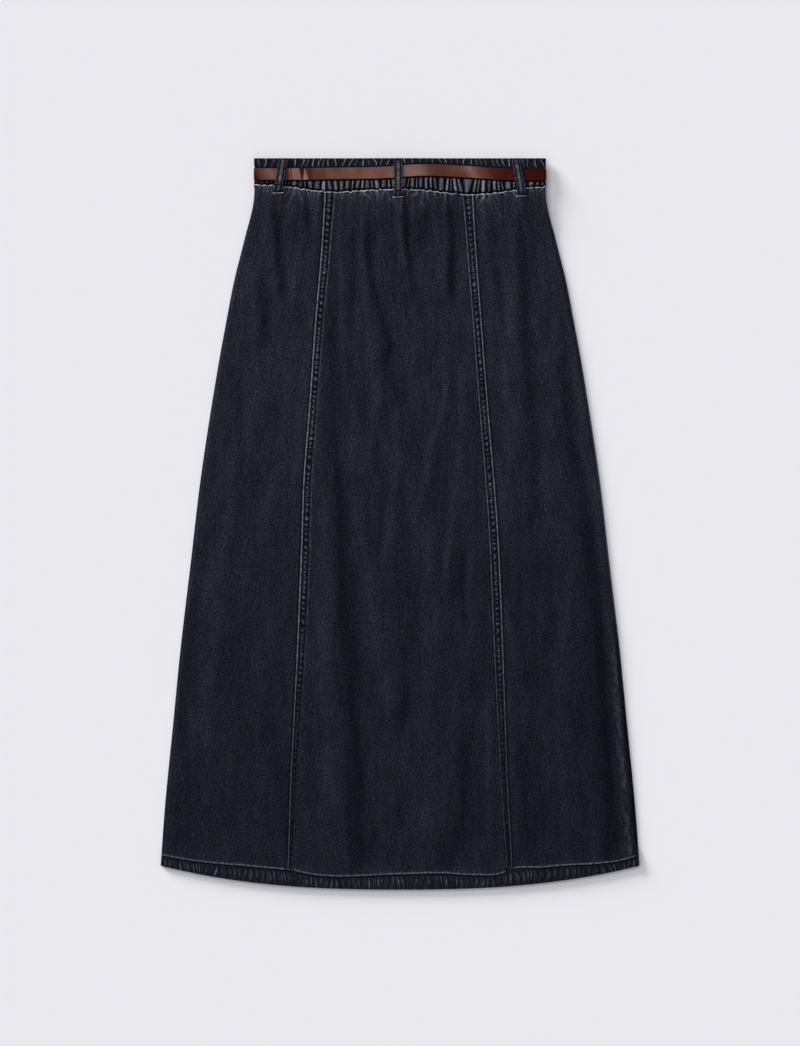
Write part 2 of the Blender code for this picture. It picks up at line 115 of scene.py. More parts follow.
# Folds: slope across the fold (below 0 where it falls to +X), half its width (mm), and its course
# as (drop, place across) (mm)
FOLDS = (
    (-0.26, 5.0, ((60, -154), (100, -150), (158, -146))),
    (-0.19, 7.0, ((150, -170), (220, -166))),
    (-0.24, 3.5, ((56, -115), (74, -114))),
    (-0.18, 9.0, ((190, -84), (340, -83), (450, -73), (650, -61), (730, -53), (870, -52))),
    (-0.21, 5.0, ((100, -41), (142, -37), (187, -25), (230, -12))),
    (-0.16, 6.0, ((250, -20), (290, -4))),
    (-0.10, 4.5, ((110, -62), (165, -57))),
    (-0.30, 4.2, ((50, 6), (105, 8), (158, 17))),
    (-0.33, 4.5, ((45, 59), (93, 63), (160, 63))),
    (-0.13, 7.0, ((80, 28), (98, 29))),
    (-0.15, 7.0, ((82, 148), (142, 152), (236, 156), (330, 163), (440, 164))),
    (-0.19, 9.0, ((255, 200), (340, 209), (400, 221), (454, 230), (565, 242), (710, 254), (868, 262))),
    (-0.10, 6.0, ((250, -62), (300, -50), (340, -41), (372, -25))),
    (-0.05, 10.0, ((520, -4), (600, 2), (690, 8))),
    (-0.08, 9.0, ((660, 88), (750, 82), (811, 74), (866, 61))),
    (-0.06, 9.0, ((700, 161), (790, 149), (840, 156))),
    (-0.07, 9.0, ((730, -151), (811, -143), (856, -127))),
    (0.18, 5.0, ((70, -2), (120, 3))),
    (0.10, 4.0, ((140, -74), (220, -70))),
    (0.14, 4.0, ((110, -49), (195, -41), (269, -29), (305, -28))),
    (0.10, 4.0, ((146, 17), (245, 17))),
    (0.20, 6.0, ((100, 136), (195, 133), (269, 131), (360, 137))),
    (0.14, 4.0, ((285, 57), (360, 37), (400, 29), (450, 16))),
    (0.15, 4.0, ((285, 76), (351, 74), (425, 66), (454, 62), (524, 53))),
    (0.16, 4.5, ((400, -8), (454, -13), (487, -21))),
    (0.12, 6.0, ((359, -62), (441, -53), (524, -37), (618, -29), (675, -12))),
    (0.10, 7.0, ((462, 33), (556, 37), (626, 37))),
    (0.14, 4.0, ((500, 86), (590, 86))),
    (0.14, 8.0, ((440, -95), (667, -94), (790, -86))),
    (0.08, 18.0, ((690, 28), (820, 28))),
    (0.09, 4.0, ((660, 107), (835, 111))),
    (0.05, 10.0, ((450, 205), (606, 201), (720, 196), (830, 208))),
    (0.12, 7.0, ((600, 262), (780, 278))),
    (0.10, 12.0, ((480, -224), (606, -234), (720, -242))),
    (0.13, 5.0, ((277, -189), (345, -190))),
    (0.13, 5.0, ((375, -209), (441, -209))),
    (0.15, 8.0, ((400, -164), (430, -166))),
)

# Back belt loops: CAD node, place across at the top and at the bottom, drop of the bottom end (mm)
BACK_LOOPS = (
    ("loop_back_left", -144.0, -149.6, 41.2),
    ("loop_back_centre", -2.2, -2.2, 46.2),
    ("loop_back_right", 142.9, 149.5, 44.9),
)
FRONT_LOOPS = (("loop_front_left", -80.0), ("loop_front_right", 80.0))

# Painted sheen and shade along the belt's back: how light it looks, by place across (mm)
BELT_SHEEN_AND_SHADE = (
    (-180, 0.0), (-177, 0.12), (-172, 0.45), (-160, 0.68), (-150, 0.60), (-142, 0.45),
    (-136, 0.48), (-124, 0.60), (-114, 0.45), (-106, 0.42), (-96, 0.50), (-80, 0.60), (-48, 0.59),
    (-30, 0.58), (-12, 0.66), (4, 0.74), (24, 0.77), (32, 0.64), (40, 0.54), (52, 0.45), (64, 0.50),
    (78, 0.54), (84, 0.66), (88, 0.78), (93, 0.66), (98, 0.54), (105, 0.38), (112, 0.20),
    (120, 0.10), (136, 0.04), (150, 0.02), (180, -0.08),
)

# Sharp wrinkles beside the left loop, as wedges of painted highlight and painted shade: left edge at
# the belt's top and foot, right edge at its top and foot (mm), and how much lighter or darker
BELT_WEDGES = (
    (-142.0, -141.5, -138.4, -137.4, -0.20), (-136.8, -134.8, -135.5, -133.4, 0.26),
    (-135.3, -133.4, -134.0, -132.4, -0.34), (-134.0, -132.4, -124.0, -121.0, 0.20),
    (-124.0, -121.0, -117.6, -119.4, -0.52), (-117.8, -119.8, -117.2, -112.0, 0.26),
    (-117.2, -112.0, -108.0, -107.0, -0.22),
)


class Slot(str, Enum):
    """The record's material slots."""

    DENIM = "denim"
    THREAD = "thread"
    LEATHER = "leather"
    BRASS = "brass"


class Side(Enum):
    """A side of the skirt, by the sign of its place across."""

    LEFT = -1
    RIGHT = 1


# ---------------------------------------------------------------- small helpers


def ease(share: Array) -> Array:
    """Rise smoothly from 0 to 1 as share goes from 0 to 1."""
    held = np.clip(share, 0.0, 1.0)
    return held * held * (3.0 - 2.0 * held)


def climb(place: Array, start: float, span: float) -> Array:
    """Rise smoothly from 0 at the start to 1 one span later, both in millimetres."""
    return ease((place - start * MM) / (span * MM))


def follow(table: Table, place: Array) -> Array:
    """Read a smooth line through a table.

    Args:
        table: Rows of (place, value), in millimetres.
        place: Places to read, in metres.

    Returns:
        The values, in metres.
    """
    known, value = (np.array(column) * MM for column in zip(*table))
    slope = np.gradient(value, known)
    spot = np.clip(place, known[0], known[-1])
    low = np.clip(np.searchsorted(known, spot, side="right") - 1, 0, len(known) - 2)
    span = known[low + 1] - known[low]
    share = (spot - known[low]) / span
    straight = value[low] + (value[low + 1] - value[low]) * ease(share)
    leaving = span * slope[low] * share * (1 - share) ** 2
    arriving = span * slope[low + 1] * share**2 * (1 - share)
    return straight + leaving - arriving


def near(distance: Array, reach: float) -> Array:
    """Fall off smoothly from 1 at no distance to 0 past about two reaches."""
    return np.exp(-((distance / reach) ** 2))


def wander(place: Array, pitch: float, seed: int) -> Array:
    """Make a smooth uneven line between about -1 and 1.

    Args:
        place: Places along the line, in metres.
        pitch: Typical distance between its rises, in metres.
        seed: Picks one line of many.

    Returns:
        The line's values.
    """
    picked = np.random.default_rng(seed)
    total = np.zeros(np.shape(place))
    for step in (0.61, 0.87, 1.13, 1.71):
        total += np.sin(place / (pitch * step) * math.tau + picked.uniform(0, math.tau))
    return total / 2.6


def linear(hex_colour: str) -> tuple[float, float, float, float]:
    """Turn an sRGB hex colour into linear light.

    Args:
        hex_colour: The colour, as #RRGGBB.

    Returns:
        Its linear red, green, blue and alpha.
    """
    parts = (int(hex_colour[start : start + 2], 16) / 255 for start in (1, 3, 5))
    red, green, blue = (v / 12.92 if v <= 0.04045 else ((v + 0.055) / 1.055) ** 2.4 for v in parts)
    return red, green, blue, 1.0


# ---------------------------------------------------------------- finishes


def add_node(
    tree: bpy.types.NodeTree,
    kind: str,
    settings: dict[Any, Any] | None = None,
    links: dict[Any, bpy.types.NodeSocket] | None = None,
) -> bpy.types.Node:
    """Add a shader node.

    Args:
        tree: The material's node tree.
        kind: The node's type name, without the part that all of them share.
        settings: Values by property name, by input name or by input number.
        links: Sockets to link from, by input name or number.

    Returns:
        The new node.
    """
    node = tree.nodes.new(f"ShaderNode{kind}")
    for name, value in (settings or {}).items():
        if isinstance(name, str) and hasattr(node, name):
            setattr(node, name, value)
        else:
            node.inputs[name].default_value = value
    for name, source in (links or {}).items():
        tree.links.new(source, node.inputs[name])
    return node


def start_material(name: str, seen: str) -> tuple[bpy.types.Material, bpy.types.ShaderNodeTree]:
    """Make an empty material.

    Args:
        name: The material's name.
        seen: Its viewport colour, as sRGB hex.

    Returns:
        The material and its node tree, with no nodes in it.
    """
    material = bpy.data.materials.new(name)
    material.use_nodes = True
    material.diffuse_color = linear(seen)
    material.node_tree.nodes.clear()
    return material, material.node_tree


def finish_material(
    tree: bpy.types.NodeTree, settings: dict[str, Any], links: dict[str, bpy.types.NodeSocket]
) -> None:
    """Add the shader and wire it to the material's output.

    Args:
        tree: The material's node tree.
        settings: The shader's even values, by input name.
        links: Sockets to link to the shader, by input name.
    """
    surface = add_node(tree, "BsdfPrincipled", settings, links)
    add_node(tree, "OutputMaterial", links={"Surface": surface.outputs[0]})


@dataclass(frozen=True)
class WashedDenim:
    """Cotton twill, overdyed black-blue and stone washed: matt and mottled, pale wherever it rubs, with
    painted highlights and painted shade laid on by its marks.
    """

    deep: str = "#090A12"
    body: str = "#1E1E23"
    bluer: str = "#1B1E27"
    faded: str = "#A2A5B1"
    # A real twill line is 0.6 mm wide, too fine to show, so it is drawn this coarse
    twill_pitch: float = 2.6 * MM
    twill_lean: float = -27.0
    twill_contrast: float = 0.24
    hue_patch: float = 16.0 * MM
    even_blue: float = 0.0030
    full_fade: float = 0.85
    roughness: float = 0.95
    relief: float = 0.2 * MM

    # Mottling: size across and down the cloth (mm), and how strong it is
    MOTTLES: ClassVar[tuple[tuple[str, float, float, float], ...]] = (
        ("grain", 2.1, 2.1, 0.98),
        ("nap", 1.5, 1.9, 0.55),
        ("slub", 1.8, 15.0, 0.34),
        ("streak", 10.0, 55.0, 0.28),
        ("cloud", 34.0, 110.0, 0.20),
    )

    def material(self) -> bpy.types.Material:
        """Build the cloth's material.

        Returns:
            The material.
        """
        material, tree = start_material("washed_black_blue_denim", self.body)
        along = add_node(tree, "UVMap", {"uv_map": "cloth"}).outputs["UV"]
        wear = add_node(tree, "Attribute", {"attribute_name": "wear"}).outputs["Fac"]
        tone = add_node(tree, "Attribute", {"attribute_name": "tone"}).outputs["Fac"]
        noises = {}
        shade = add_node(tree, "Math", {"operation": "ADD", 1: 1.0}, {0: tone}).outputs[0]
        for name, across, down, contrast in self.MOTTLES:
            size = {"Scale": (1 / (across * MM), 1 / (down * MM), 1.0)}
            placed = add_node(tree, "Mapping", size, {"Vector": along}).outputs[0]
            noise = add_node(tree, "TexNoise", {"Scale": 1.0, "Detail": 2.0}, {"Vector": placed})
            noises[name] = noise.outputs["Fac"]
            shade = self.times(tree, shade, noises[name], contrast)
        lean = (0.0, 0.0, math.radians(self.twill_lean))
        turn = {"Rotation": lean, "Scale": (1 / self.twill_pitch,) * 3}
        turned = add_node(tree, "Mapping", turn, {"Vector": along}).outputs[0]
        lines = {"Scale": 0.5, "Distortion": 1.4, "Detail": 1.0, "Detail Scale": 1.5}
        twill = add_node(tree, "TexWave", lines, {"Vector": turned}).outputs["Fac"]
        shade = self.times(tree, shade, twill, self.twill_contrast)
        patches = add_node(tree, "TexNoise", {"Scale": 1 / self.hue_patch}, {"Vector": along})
        middle = {"From Min": 0.35, "From Max": 0.65}
        spread = add_node(tree, "MapRange", middle, {"Value": patches.outputs["Fac"]}).outputs[0]
        dyes = {"data_type": "RGBA", 6: linear(self.body), 7: linear(self.bluer)}
        hue = add_node(tree, "Mix", dyes, {0: spread}).outputs[2]
        # worn ridges and painted highlights break up along the grain
        rubbed = {0: wear, 1: noises["grain"]}
        worn_lit_and_shaded = add_node(tree, "Math", {"operation": "MULTIPLY"}, rubbed).outputs[0]
        fade = add_node(tree, "MapRange", {"From Max": self.full_fade}, {"Value": worn_lit_and_shaded}).outputs[0]
        scale = {"operation": "SCALE"}
        shaded = add_node(tree, "VectorMath", scale, {0: hue, "Scale": shade}).outputs[0]
        # the blue of the dye lies evenly under the mottling
        blue = {"operation": "ADD", 1: (0.0, 0.0, self.even_blue)}
        dyed = add_node(tree, "VectorMath", blue, {0: shaded}).outputs[0]
        paling = {"data_type": "RGBA", 7: linear(self.faded)}
        light = add_node(tree, "Mix", paling, {0: fade, 6: dyed}).outputs[2]
        # marks below 0 are painted shade: creases, ditches and the cloth beside the belt darken towards
        # the deep colour
        hollow = {"From Min": 0.0, "From Max": -1.0}
        painted_shade_share = add_node(tree, "MapRange", hollow, {"Value": wear}).outputs[0]
        painted_shade_mix = {"data_type": "RGBA", 7: linear(self.deep)}
        colour = add_node(tree, "Mix", painted_shade_mix, {0: painted_shade_share, 6: light}).outputs[2]
        weave = {0: noises["grain"], 1: twill}
        height = add_node(tree, "Math", {"operation": "ADD"}, weave).outputs[0]
        raised = {"Strength": 0.3, "Distance": self.relief}
        bump = add_node(tree, "Bump", raised, {"Height": height}).outputs[0]
        even = {"Roughness": self.roughness, "Specular IOR Level": 0.06}
        finish_material(tree, even, {"Base Color": colour, "Normal": bump})
        return material

    @staticmethod
    def times(
        tree: bpy.types.NodeTree,
        shade: bpy.types.NodeSocket,
        pattern: bpy.types.NodeSocket,
        contrast: float,
    ) -> bpy.types.NodeSocket:
        """Multiply the shade by one pattern.

        Args:
            tree: The material's node tree.
            shade: The shade so far.
            pattern: A pattern around 0.5.
            contrast: How far its darkest and lightest shares are from 1.

        Returns:
            The new shade.
        """
        spread = {"From Min": 0.25, "From Max": 0.75, "To Min": 1 - contrast, "To Max": 1 + contrast}
        share = add_node(tree, "MapRange", spread, {"Value": pattern}).outputs[0]
        return add_node(tree, "Math", {"operation": "MULTIPLY"}, {0: shade, 1: share}).outputs[0]


@dataclass(frozen=True)
class WornThread:
    """Spun polyester core thread, once black, rubbed pale grey: soft, slightly glossy, uneven."""

    dull: str = "#2E3037"
    pale: str = "#C4C6D0"
    twist: float = 1.2 * MM
    roughness: float = 0.6

    def material(self) -> bpy.types.Material:
        """Build the thread's material.

        Returns:
            The material.
        """
        material, tree = start_material("worn_grey_thread", self.pale)
        place = add_node(tree, "TexCoord").outputs["Object"]
        wear = add_node(tree, "Attribute", {"attribute_name": "wear"}).outputs["Fac"]
        size = {"Scale": 1 / self.twist, "Detail": 1.0}
        strands = add_node(tree, "TexNoise", size, {"Vector": place}).outputs["Fac"]
        rubbed = {0: wear, 1: strands}
        mixed = add_node(tree, "Math", {"operation": "MULTIPLY"}, rubbed).outputs[0]
        limits = {"From Min": 0.1, "From Max": 0.55}
        fade = add_node(tree, "MapRange", limits, {"Value": mixed}).outputs[0]
        greys = {"data_type": "RGBA", 6: linear(self.dull), 7: linear(self.pale)}
        colour = add_node(tree, "Mix", greys, {0: fade}).outputs[2]
        even = {"Roughness": self.roughness, "Specular IOR Level": 0.3}
        finish_material(tree, even, {"Base Color": colour})
        return material


@dataclass(frozen=True)
class WaxedLeather:
    """Full-grain cowhide, aniline dyed brown and waxed: fine pores and soft polish, with painted sheen
    and painted shade where bent.
    """

    deep: str = "#350A03"
    body: str = "#58352D"
    light: str = "#8F7067"
    pore: float = 0.9 * MM
    cloud: float = 14.0 * MM
    unevenness: float = 0.06
    relief: float = 0.12 * MM

    def material(self) -> bpy.types.Material:
        """Build the leather's material.

        Returns:
            The material.
        """
        material, tree = start_material("waxed_brown_leather", self.body)
        place = add_node(tree, "TexCoord").outputs["Object"]
        tone = add_node(tree, "Attribute", {"attribute_name": "wear"}).outputs["Fac"]
        pores = {"Scale": 1 / self.pore, "Detail": 3.0}
        grain = add_node(tree, "TexNoise", pores, {"Vector": place}).outputs["Fac"]
        soft = {"Scale": 1 / self.cloud, "Detail": 2.0}
        clouds = add_node(tree, "TexNoise", soft, {"Vector": place}).outputs["Fac"]
        span = self.unevenness
        uneven = {"From Min": 0.3, "From Max": 0.7, "To Min": -span, "To Max": span}
        shift = add_node(tree, "MapRange", uneven, {"Value": clouds}).outputs[0]
        level = add_node(tree, "Math", {"operation": "ADD"}, {0: tone, 1: shift}).outputs[0]
        # the ramp turns the strap's marks into painted sheen and painted shade
        ramp = add_node(tree, "ValToRGB", links={"Fac": level})
        ramp.color_ramp.elements[0].color = linear(self.deep)
        ramp.color_ramp.elements[1].color = linear(self.light)
        ramp.color_ramp.elements.new(0.5).color = linear(self.body)
        polish = {"To Min": 0.45, "To Max": 0.6}
        gloss = add_node(tree, "MapRange", polish, {"Value": clouds}).outputs[0]
        raised = {"Strength": 0.25, "Distance": self.relief}
        bump = add_node(tree, "Bump", raised, {"Height": grain}).outputs[0]
        looks = {"Base Color": ramp.outputs[0], "Roughness": gloss, "Normal": bump}
        finish_material(tree, {"Specular IOR Level": 0.04}, looks)
        return material


@dataclass(frozen=True)
class AgedBrass:
    """Drawn brass wire, tumbled and aged: warm, softly polished, browned in the hollows."""

    bright: str = "#B59A62"
    brown: str = "#6E5530"
    mottle: float = 2.5 * MM

    def material(self) -> bpy.types.Material:
        """Build the metal's material.

        Returns:
            The material.
        """
        material, tree = start_material("aged_brass_wire", self.bright)
        place = add_node(tree, "TexCoord").outputs["Object"]
        size = {"Scale": 1 / self.mottle, "Detail": 3.0}
        mottle = add_node(tree, "TexNoise", size, {"Vector": place}).outputs["Fac"]
        metals = {"data_type": "RGBA", 6: linear(self.brown), 7: linear(self.bright)}
        colour = add_node(tree, "Mix", metals, {0: mottle}).outputs[2]
        polish = {"To Min": 0.5, "To Max": 0.25}
        rough = add_node(tree, "MapRange", polish, {"Value": mottle}).outputs[0]
        finish_material(tree, {"Metallic": 1.0}, {"Base Color": colour, "Roughness": rough})
        return material


@dataclass(frozen=True)
class PaperFloor:
    """Matt backdrop paper, pale and cool, with a faint tooth."""

    colour: str = "#E9E8ED"
    tooth: float = 3.0 * MM
    relief: float = 0.1 * MM

    def material(self) -> bpy.types.Material:
        """Build the floor's material.

        Returns:
            The material.
        """
        material, tree = start_material("pale_backdrop_paper", self.colour)
        place = add_node(tree, "TexCoord").outputs["Object"]
        size = {"Scale": 1 / self.tooth, "Detail": 2.0}
        tooth = add_node(tree, "TexNoise", size, {"Vector": place}).outputs["Fac"]
        raised = {"Strength": 0.05, "Distance": self.relief}
        bump = add_node(tree, "Bump", raised, {"Height": tooth}).outputs[0]
        even = {"Base Color": linear(self.colour), "Roughness": 0.95, "Specular IOR Level": 0.1}
        finish_material(tree, even, {"Normal": bump})
        return material


# ---------------------------------------------------------------- meshes


def make_object(
    name: str,
    points: Array,
    faces: NDArray[np.int64],
    marks: dict[str, Array],
    lie: Array | None,
    material: bpy.types.Material,
) -> bpy.types.Object:
    """Make a smooth mesh object.

    Args:
        name: The piece's name.
        points: Vertices, one row each, in metres.
        faces: Quads, one row each.
        marks: Values for each vertex that the finish reads: "wear" runs from -1 in a painted shade
            hollow to 1 on a pale worn ridge or painted highlight, and "tone" is how much lighter or
            darker the whole colour is, painted light falloff and painted fold shade included.
        lie: Each vertex's place on the cloth, across and down, in metres; None for no UV map.
        material: The piece's finish.

    Returns:
        The object, linked to the scene.
    """
    a, b, c, d = (points[faces[:, corner]] for corner in range(4))
    volume = (a * np.cross(b, c)).sum() + (a * np.cross(c, d)).sum()
    if volume < 0:
        faces = faces[:, ::-1]
    mesh = bpy.data.meshes.new(name)
    mesh.vertices.add(len(points))
    mesh.vertices.foreach_set("co", points.astype(np.float32).ravel())
    mesh.loops.add(faces.size)
    mesh.loops.foreach_set("vertex_index", faces.astype(np.int32).ravel())
    mesh.polygons.add(len(faces))
    mesh.polygons.foreach_set("loop_start", np.arange(0, faces.size, 4, dtype=np.int32))
    mesh.update(calc_edges=True)
    mesh.validate()
    for mark, values in marks.items():
        layer = mesh.attributes.new(mark, "FLOAT", "POINT")
        layer.data.foreach_set("value", np.asarray(values, dtype=np.float32).ravel())
    if lie is not None:
        places = mesh.uv_layers.new(name="cloth")
        corners = np.zeros(len(mesh.loops), dtype=np.int32)
        mesh.loops.foreach_get("vertex_index", corners)
        places.data.foreach_set("uv", lie[corners].astype(np.float32).ravel())
    mesh.shade_smooth()
    mesh.materials.append(material)
    thing = bpy.data.objects.new(name, mesh)
    bpy.context.scene.collection.objects.link(thing)
    return thing


def wall(
    name: str,
    outer: Array,
    inner: Array,
    wear: Array,
    lie: Array,
    material: bpy.types.Material,
    tone: Array | float = 0.0,
) -> bpy.types.Object:
    """Make one closed wall of cloth between two matching grids of points.

    Args:
        name: The piece's name.
        outer: Points of the face that shows, by row and column.
        inner: Points of the face behind it.
        wear: Fading of each point, with painted shade below 0 and painted highlights in places.
        lie: Each point's place on the cloth, across and down.
        material: The cloth's finish.
        tone: How much lighter or darker each point's whole colour is, painted light and shade included.

    Returns:
        The wall.
    """
    rows, columns = wear.shape
    count = rows * columns
    number = np.arange(count).reshape(rows, columns)
    corners = (number[:-1, :-1], number[1:, :-1], number[1:, 1:], number[:-1, 1:])
    front = np.stack(corners, -1).reshape(-1, 4)
    back = front[:, ::-1] + count
    around = np.concatenate((number[0, :], number[1:, -1], number[-1, -2::-1], number[-2:0:-1, 0]))
    after = np.roll(around, -1)
    rim = np.stack((around, after, after + count, around + count), -1)
    points = np.concatenate((outer.reshape(-1, 3), inner.reshape(-1, 3)))
    shown = np.broadcast_to(tone, wear.shape).ravel()
    worn_lit_and_shaded = np.concatenate((wear.ravel(), wear.ravel() - INSIDE_DARKER))
    marks = {"wear": worn_lit_and_shaded, "tone": np.tile(shown, 2)}
    places = np.tile(lie.reshape(-1, 2), (2, 1))
    return make_object(name, points, np.concatenate((front, back, rim)), marks, places, material)


def deselect_all() -> None:
    """Leave nothing selected and no mode open."""
    if bpy.context.object and bpy.context.object.mode != "OBJECT":
        bpy.ops.object.mode_set(mode="OBJECT")
    bpy.ops.object.select_all(action="DESELECT")


def belongs(piece: bpy.types.Object, slot: Slot, *nodes: str) -> bpy.types.Object:
    """Put a piece on the skirt's one body.

    Args:
        piece: The piece.
        slot: The material slot that its finish comes from; not used.
        nodes: The CAD nodes that it stands for, if any.

    Returns:
        The same piece.
    """
    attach(piece, "root")
    if nodes:
        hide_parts(*nodes)
    LOG.info("%s: %d faces", piece.name, len(piece.data.polygons))
    return piece


# ---------------------------------------------------------------- the skirt's own form


@dataclass(frozen=True)
class Gathers:
    """A run of uneven gathers along the waist."""

    pitch: float
    spread: float
    seed: int
    reach: float = 182.0 * MM

    @cached_property
    def creases(self) -> Array:
        """Places of the creases between the gathers.

        Returns:
            The places, in metres, from left to right.
        """
        picked = np.random.default_rng(self.seed)
        steps = picked.uniform(self.pitch - self.spread, self.pitch + self.spread, 120)
        places = np.cumsum(steps) - self.reach - self.pitch
        return places[places < self.reach + 2 * self.pitch]

    @cached_property
    def strengths(self) -> Array:
        """How strongly each gather shows, from 0 to 1."""
        return np.random.default_rng(self.seed + 1).uniform(0.25, 1.0, len(self.creases))

    def cell(self, across: Array) -> tuple[Array, Array]:
        """Find the gather at each place.

        Args:
            across: Places along the waist.

        Returns:
            The place inside its gather from -1 to 1, and the gather's strength.
        """
        found = np.clip(np.searchsorted(self.creases, across) - 1, 0, len(self.creases) - 2)
        low, high = self.creases[found], self.creases[found + 1]
        return (across - low) / ((high - low) / 2) - 1, self.strengths[found]

    def line(self, across: Array, width: float) -> tuple[Array, Array]:
        """Find the nearest crease at each place.

        Args:
            across: Places along the waist.
            width: How wide the line at each crease is.

        Returns:
            The line's share from 0 to 1, and the strength of that crease.
        """
        found = np.clip(np.searchsorted(self.creases, across), 1, len(self.creases) - 1)
        closer = across - self.creases[found - 1] < self.creases[found] - across
        nearest = np.where(closer, found - 1, found)
        return near(across - self.creases[nearest], width), self.strengths[nearest]


@dataclass(frozen=True)
class SkirtForm:
    """The laid skirt's shape: its outline, its seams and how high each layer lies."""

    cloth: float = 1.2 * MM
    gap: float = 0.3 * MM
    casing: float = 3.0 * MM
    front_casing_floor: float = 3.4 * MM
    band_half_width: float = 179.6 * MM
    band_nipped: float = 178.3 * MM
    seam_level: float = 38.0 * MM
    hem_rise: float = 29.5 * MM
    hem_half_width: float = 295.0 * MM
    hem_power: float = 2.5
    lift_height: float = 5.2 * MM
    lift_reach: float = 45.0 * MM
    fold_edge: float = 1.2 * MM
    inner_margin: float = 1.1 * MM
    fold_gain: float = 2.0
    fold_fade: float = 25 * MM
    panel_step: float = 0.9 * MM
    back_slack: float = 2.1 * MM
    slack_lost: float = 0.5 * MM
    small_gathers: float = 1.0 * MM
    middle_gathers: float = 0.48 * MM
    broad_gathers: float = 0.95 * MM
    ripples: float = 0.16 * MM
    raggedness: float = 0.8 * MM
    falloff_base: float = 0.04
    painted_light_left: float = 0.09
    painted_shade_down: float = 0.24
    painted_shade_right: float = 0.14

    @cached_property
    def puckers(self) -> Gathers:
        """The gathers between belt and waist seam, which run on into the panels."""
        return Gathers(pitch=6.6 * MM, spread=2.4 * MM, seed=5)

    @property
    def back_casing_floor(self) -> float:
        """Height of the back casing's underside."""
        return self.front_casing_floor + self.casing + self.gap

    def half_width(self, drop: Array) -> Array:
        """Half the skirt's width."""
        return follow(OUTLINE, drop)

    def gore_seam(self, drop: Array) -> Array:
        """Distance of the gore seams from the middle, taken as even on both sides."""
        return follow(GORE_SEAM, drop)

    def lap_edge(self, drop: Array, side: Side) -> Array:
        """Distance of a lapped strip's folded edge from the middle."""
        return follow(GORE_SEAM, drop) + self.fold_edge - side.value * follow(SEAM_SHIFT, drop)

    def strip_width(self, drop: Array) -> Array:
        """Width of a lapped strip, from its folded edge to past its inner stitches."""
        return follow(STRIP_WIDTH, drop) + self.fold_edge + self.inner_margin

    def painted_falloff(self, across: Array, drop: Array) -> Array:
        """Give the painted light falloff over the whole skirt: painted shade down and to the right,
        painted light to the left.

        Args:
            across: Places across.
            drop: Their drops.

        Returns:
            How much lighter or darker each place is.
        """
        # painted light falloff: lighter high on the left, painted shade down and to the right
        low, right = ease((drop / MM - 200) / 560), ease((across / MM - 40) / 220)
        high_left = ease((-across / MM - 105) / 60) * (1 - 1.3 * ease((drop / MM - 500) / 220))
        darker_right = self.painted_shade_right * right * ease((drop / MM - 150) / 550)
        return self.falloff_base + self.painted_light_left * high_left - self.painted_shade_down * low - darker_right

    def hem_drop(self, across: Array) -> Array:
        """Drop of the hem's edge."""
        return LENGTH - self.hem_rise * np.abs(across / self.hem_half_width) ** self.hem_power

    def seam_drop(self, across: Array) -> Array:
        """Drop of the back waist seam."""
        return follow(WAIST_SEAM, across)

    def buckle_lift(self, across: Array) -> Array:
        """How far the buckle underneath lifts the layers above it."""
        return self.lift_height * np.exp(-((across / self.lift_reach) ** 4))

    def front_floor(self, across: Array, drop: Array) -> Array:
        """Height of the front panel's underside.

        Args:
            across: Place across.
            drop: Place down from the top edge.

        Returns:
            The height above the floor.
        """
        drops, shares = zip(*DESCENT)
        risen = np.interp(drop, np.array(drops) * MM, shares)
        return (self.front_casing_floor + self.panel_step + self.buckle_lift(across)) * risen

    def fold_height(self, across: Array, drop: Array) -> Array:
        """Add up the folds, each a slope that levels out again on both sides.

        Args:
            across: Places across.
            drop: Their drops.

        Returns:
            The folds' heights.
        """
        height = np.zeros(np.broadcast(across, drop).shape)
        fade = self.fold_fade
        for slope, half, course in FOLDS:
            drops, places = (np.array(column) * MM for column in zip(*course))
            shown = ease((drop - drops[0] + fade) / fade) * ease((drops[-1] + fade - drop) / fade)
            offset = (across - np.interp(drop, drops, places)) / (half * MM)
            swing = np.tanh(0.8 * offset) - np.tanh(0.8 * offset / 3)
            height += slope * half * MM * 1.25 * swing * shown
        return self.fold_gain * height

    def top_place(self, across: Array, drop: Array) -> Array:
        """Trace each place up along the cloth to the waist seam.

        Args:
            across: Places across.
            drop: Their drops.

        Returns:
            The places across at the waist seam.
        """
        seam, half = self.gore_seam(drop), self.half_width(drop)
        seam_up, half_up = self.gore_seam(self.seam_level), self.half_width(self.seam_level)
        inside = np.abs(across) / seam * seam_up
        outside = seam_up + (np.abs(across) - seam) / (half - seam) * (half_up - seam_up)
        return np.sign(across) * np.where(np.abs(across) < seam, inside, outside)

    def slack(self, across: Array, drop: Array) -> Array:
        """Find how far the back panels stand clear of the front one.

        Args:
            across: Places across.
            drop: Their drops.

        Returns:
            The clear heights, folds included.
        """
        body = self.back_slack - self.slack_lost * climb(drop, 500, 400)
        from_edge = np.maximum(self.half_width(drop) - np.abs(across), 0)
        edge = climb(from_edge, 0, 5) + (1 - climb(drop, 40, 60))
        folds = self.fold_height(across, drop) * climb(from_edge, 0, 20)
        return body * np.minimum(edge, 1) + folds

